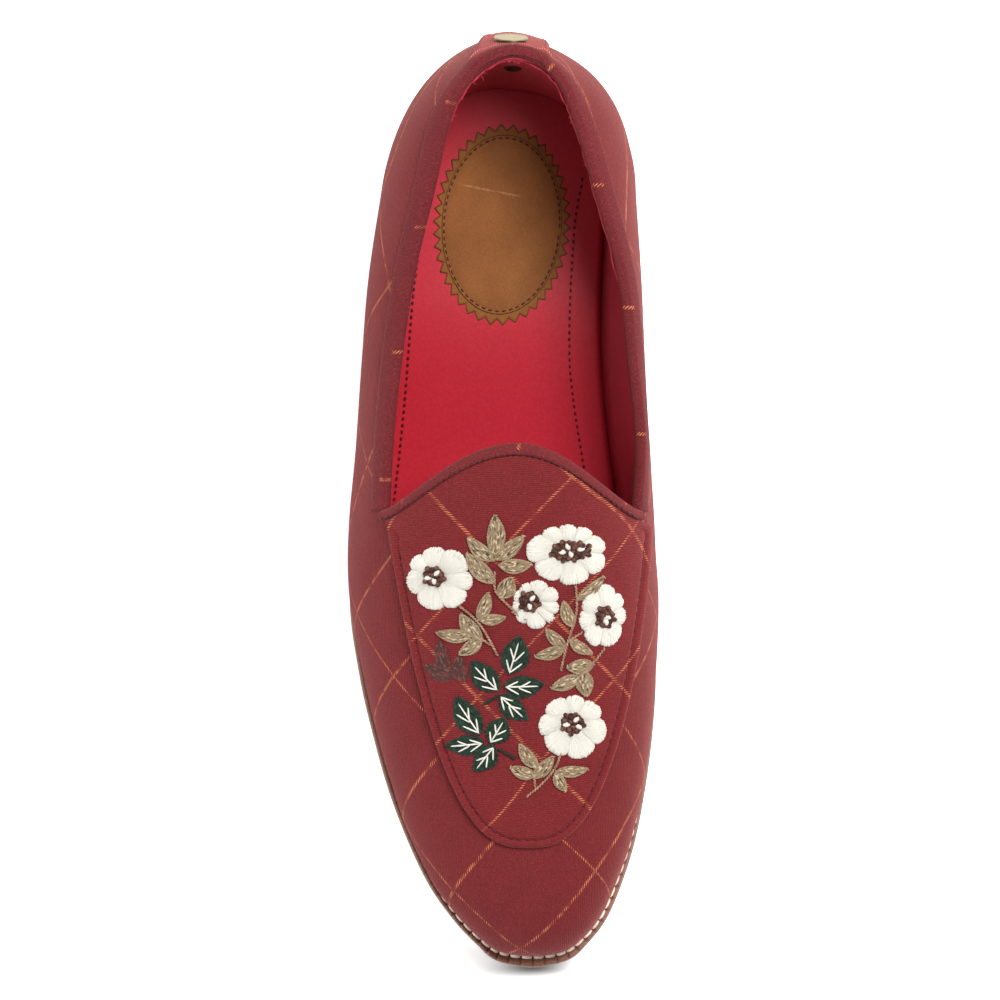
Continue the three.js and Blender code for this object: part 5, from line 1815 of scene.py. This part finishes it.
# %% Places of leaves and stems
SPRAYS = np.array([  # base x, base y, tip x, tip y, width
    (-0.3, -14.4, 0.1, -2.5, 5.3), (-0.6, -16.2, -8.0, -9.4, 4.2), (-0.4, -23.1, -8.4, -14.2, 5.0),
    (0.0, -15.8, 8.7, -8.8, 4.4), (1.4, -17.8, 10.9, -17.4, 4.4), (1.7, -27.7, 4.8, -21.5, 5.4),
    (-5.2, -34.5, -2.1, -26.3, 3.8), (-4.8, -34.6, 2.9, -33.9, 3.2), (-4.6, -41.3, -10.5, -33.0, 5.0),
    (-7.6, -39.7, -17.8, -38.9, 4.0), (-4.5, -40.5, -11.1, -45.5, 4.0),
    (24.1, -28.5, 31.7, -21.5, 3.0), (22.8, -36.9, 20.1, -28.9, 3.5), (20.4, -42.9, 15.0, -37.6, 3.3),
    (20.2, -43.6, 11.7, -46.1, 3.7), (22.1, -41.2, 28.3, -45.4, 3.2),
    (28.6, -48.8, 21.0, -49.6, 4.7), (24.2, -52.5, 16.4, -56.1, 4.2), (26.2, -51.2, 26.8, -58.8, 5.0),
    (12.1, -81.1, 6.8, -73.7, 3.9), (11.4, -83.7, 4.0, -81.1, 3.9), (11.0, -84.3, 16.8, -77.7, 3.9),
    (18.0, -82.4, 27.0, -81.8, 3.4), (17.6, -82.9, 20.6, -88.7, 3.2),
])
HOLLY = np.array([
    (3.7, -51.7, 7.0, -39.7, 8.4), (0.6, -56.9, -7.6, -47.5, 7.7), (2.2, -55.5, 14.5, -54.9, 7.0),
    (0.9, -58.2, 9.4, -66.1, 6.8), (-5.0, -70.7, -12.4, -58.8, 8.0), (-2.2, -73.4, 2.3, -65.3, 7.5),
    (-3.9, -73.3, -15.9, -74.3, 6.5), (-0.9, -74.2, -7.3, -82.5, 7.0),
])
BROWN = np.array([
    (-15.0, -50.2, -17.2, -41.3, 4.4), (-12.4, -52.4, -21.7, -49.2, 5.8), (-10.2, -54.6, -11.4, -45.7, 4.8),
])
STEMS = [
    [(-0.1, -20.2), (-0.4, -25.1), (1.3, -27.7), (6.0, -32.3)],
    [(-10.9, -30.4), (-6.9, -33.6), (-4.1, -37.0), (-1.7, -41.4), (0.5, -46.1)],
    [(-4.4, -40.6), (-1.2, -42.8)],
    [(23.6, -23.8), (24.0, -28.8), (23.7, -34.0), (21.6, -40.4), (20.5, -44.5), (19.2, -50.7)],
    [(21.8, -41.1), (25.8, -38.5)], [(31.7, -44.2), (29.4, -47.5), (26.2, -50.8)],
    [(8.7, -34.4), (4.9, -32.0)],
    [(19.1, -76.7), (17.7, -81.2), (13.8, -86.2), (8.5, -90.7)], [(11.2, -84.1), (11.5, -87.8)],
]
DARK_STEMS = [[(-0.1, -58.7), (-4.1, -61.2)], [(0.8, -75.4), (5.6, -78.4)]]
print("leaves:", len(SPRAYS) + len(HOLLY) + len(BROWN), "stems:", len(STEMS) + len(DARK_STEMS))


# %% Shape of a leaf
LEAF_COLUMNS = 13


def leaf_half_width(t, teeth=0):
    """Half-width as a share: sin(pi t ** 0.85) ** 0.8, with saw teeth towards the tip if asked."""
    saw = np.mod(t * teeth, 1) - 0.5 if teeth else 0 * t
    return np.sin(np.pi * t ** 0.85) ** 0.8 * (1 - 0.22 * saw)


def leaf_plan(row, t, c, teeth=0):
    """Plan of a leaf: t along from base to tip, c across from -1 to 1, with a slight bow of the midrib."""
    base, tip, width = row[:2], row[2:4], row[4]
    run, long = tip - base, np.hypot(*(tip - base))
    bow = 0.05 * long * np.sin(np.pi * t) * (1 if row[0] > row[2] else -1)
    across = c * width / 2 * np.maximum(leaf_half_width(t, teeth), 0.04) + bow
    return base + t[..., None] * run - across[..., None] * right_of(run / long), long


def leaf(row, thick, groove, teeth=0, rows=40):
    """Closed leaf: pillow sqrt(1 - c * c) on each half, parted by a groove, over a flat back."""
    across = np.sin(np.linspace(-1, 1, LEAF_COLUMNS) * np.pi / 2)
    t, c = np.meshgrid(np.linspace(0, 1, rows), across, indexing="ij")
    plan, long = leaf_plan(row, t, c, teeth)
    rise = thick * np.sqrt(1 - c ** 2) + 0.12 - groove * bell(c, 0, 0.17) * np.sin(np.pi * t) ** 0.5
    top, back = sewn(plan, rise)[0], sewn(plan, -0.3)[0]
    uv = np.stack([c * row[4] / 2 * leaf_half_width(t) + row[0] * 7, t * long + row[1] * 3], -1)
    middle = LEAF_COLUMNS // 2
    uv = with_hubs(np.concatenate([uv, uv[:, ::-1]], 1), uv[0, middle], uv[-1, middle])
    return *capped(np.concatenate([top, back[:, ::-1]], 1)), uv


# %% Leaves
def streaked(name, dark, middle, light, along_scale, across_scale=1.6):
    """Filling stitches: noise drawn out along the leaf, through three colours; the lightest flecks are
    painted highlights on the threads.
    """
    tree = new_tree(name)
    at = cloth_map(tree)
    streak = noise(at, (across_scale, along_scale, 1.0), 2.0, 0.6)
    # Painted highlight: light flecks drawn out along the threads, in the lightest colour.
    thread_highlight = noise(at, (1.9, 0.6, 1.0), 1.0)
    full = mix(ramp(thread_highlight, 0.52, 0.66), mix(ramp(streak, 0.36, 0.5), dark, middle), light)
    return material(name, full, streak, bump=0.00025, strength=0.9, Roughness=0.75, Sheen_Weight=0.1,
                    Specular_IOR_Level=0.25)


khaki_fill = streaked("khaki_fill", (64, 56, 36), (132, 112, 86), (194, 174, 144), along_scale=0.36)
holly_fill = streaked("green_fill", (6, 14, 10), (17, 40, 27), (34, 62, 45), along_scale=0.5)
brown_fill = streaked("brown_fill", (104, 34, 38), (62, 36, 32), (100, 68, 54), 0.36, across_scale=1.5)
joined("spray_leaves", [leaf(row, thick=0.55, groove=0.25) for row in SPRAYS], khaki_fill)
joined("green_leaves", [leaf(row, thick=0.5, groove=0.2, teeth=7, rows=85) for row in HOLLY], holly_fill)
joined("brown_leaves", [leaf(row, thick=0.18, groove=0.0) for row in BROWN], brown_fill)


# %% Ropes of stitches
def smoothed(line):
    """Corner cutting, three times: each leg keeps its points at a quarter and three quarters."""
    line = np.asarray(line, float)
    for _ in range(3):
        legs = np.stack([lerp(line[:-1], line[1:], 0.25), lerp(line[:-1], line[1:], 0.75)], 1).reshape(-1, 2)
        line = np.concatenate([line[:1], legs, line[-1:]])
    return line


def rope(line, pitch=0.85, overlap=1.5, slant=0.22):
    """Slanted stitches that follow a line: from one side of it to the other, each lapping the next."""
    at = even_places(line, pitch)
    way = unit(np.gradient(at, axis=0))
    half = way * pitch * overlap / 2 - right_of(way) * slant
    return at - half, at + half


def lay_ropes(name, lines, finish, width, height, **how):
    """All the ropes of one colour as one mesh of stitches."""
    start, end = (np.concatenate(ends) for ends in zip(*(rope(line, **how) for line in lines)))
    low, normal = sewn(start, ROPE_LIFT)
    stitches(name, low, sewn(end, ROPE_LIFT)[0], normal, finish, width, height, bow=0.12)


# %% Stems, outlines and veins
ROPE_LIFT, VEIN_LIFT = 0.3, (0.62, 0.66)
RIM = 0.94  # the outline runs at this share of a leaf's half-width
VEINS = np.array([  # from t, c to t, c on the leaf: the midrib and two pairs of side veins
    (0.84, 0.0, 0.04, 0.0), (0.36, 0.6, 0.06, 0.0), (0.36, -0.6, 0.06, 0.0), (0.66, 0.62, 0.36, 0.0),
    (0.66, -0.62, 0.36, 0.0)])


def leaf_rim(row):
    """Line round a leaf, up its one side and back down the other."""
    t = np.linspace(0, 1, 40)
    return np.concatenate([leaf_plan(row, t, -RIM + 0 * t)[0], leaf_plan(row, t[::-1], RIM + 0 * t)[0]])


stem_thread = thread("stem_thread", (186, 148, 122), (96, 68, 52), 2200.0)
khaki_thread = thread("khaki_thread", (178, 154, 124), (92, 76, 52), 2200.0)
green_thread = thread("green_thread", (28, 52, 38), (10, 22, 15))
lay_ropes("leaf_outlines", [leaf_rim(row) for row in SPRAYS], khaki_thread, width=0.55, height=0.26)
lay_ropes("stems", [smoothed(line) for line in STEMS], stem_thread, width=0.66, height=0.38, pitch=1.0,
          overlap=1.2, slant=0.28)
lay_ropes("dark_stems", [smoothed(line) for line in DARK_STEMS], green_thread, width=0.8, height=0.4)
vein_start, vein_end = (np.concatenate([leaf_plan(row, t, c)[0] for row in HOLLY])
                        for t, c in (VEINS.T[:2], VEINS.T[2:]))
low, normal = sewn(vein_start, VEIN_LIFT[0])
stitches("leaf_veins", low, sewn(vein_end, VEIN_LIFT[1])[0], normal, white_thread, width=0.52,
         height=0.36, bow=0.1)
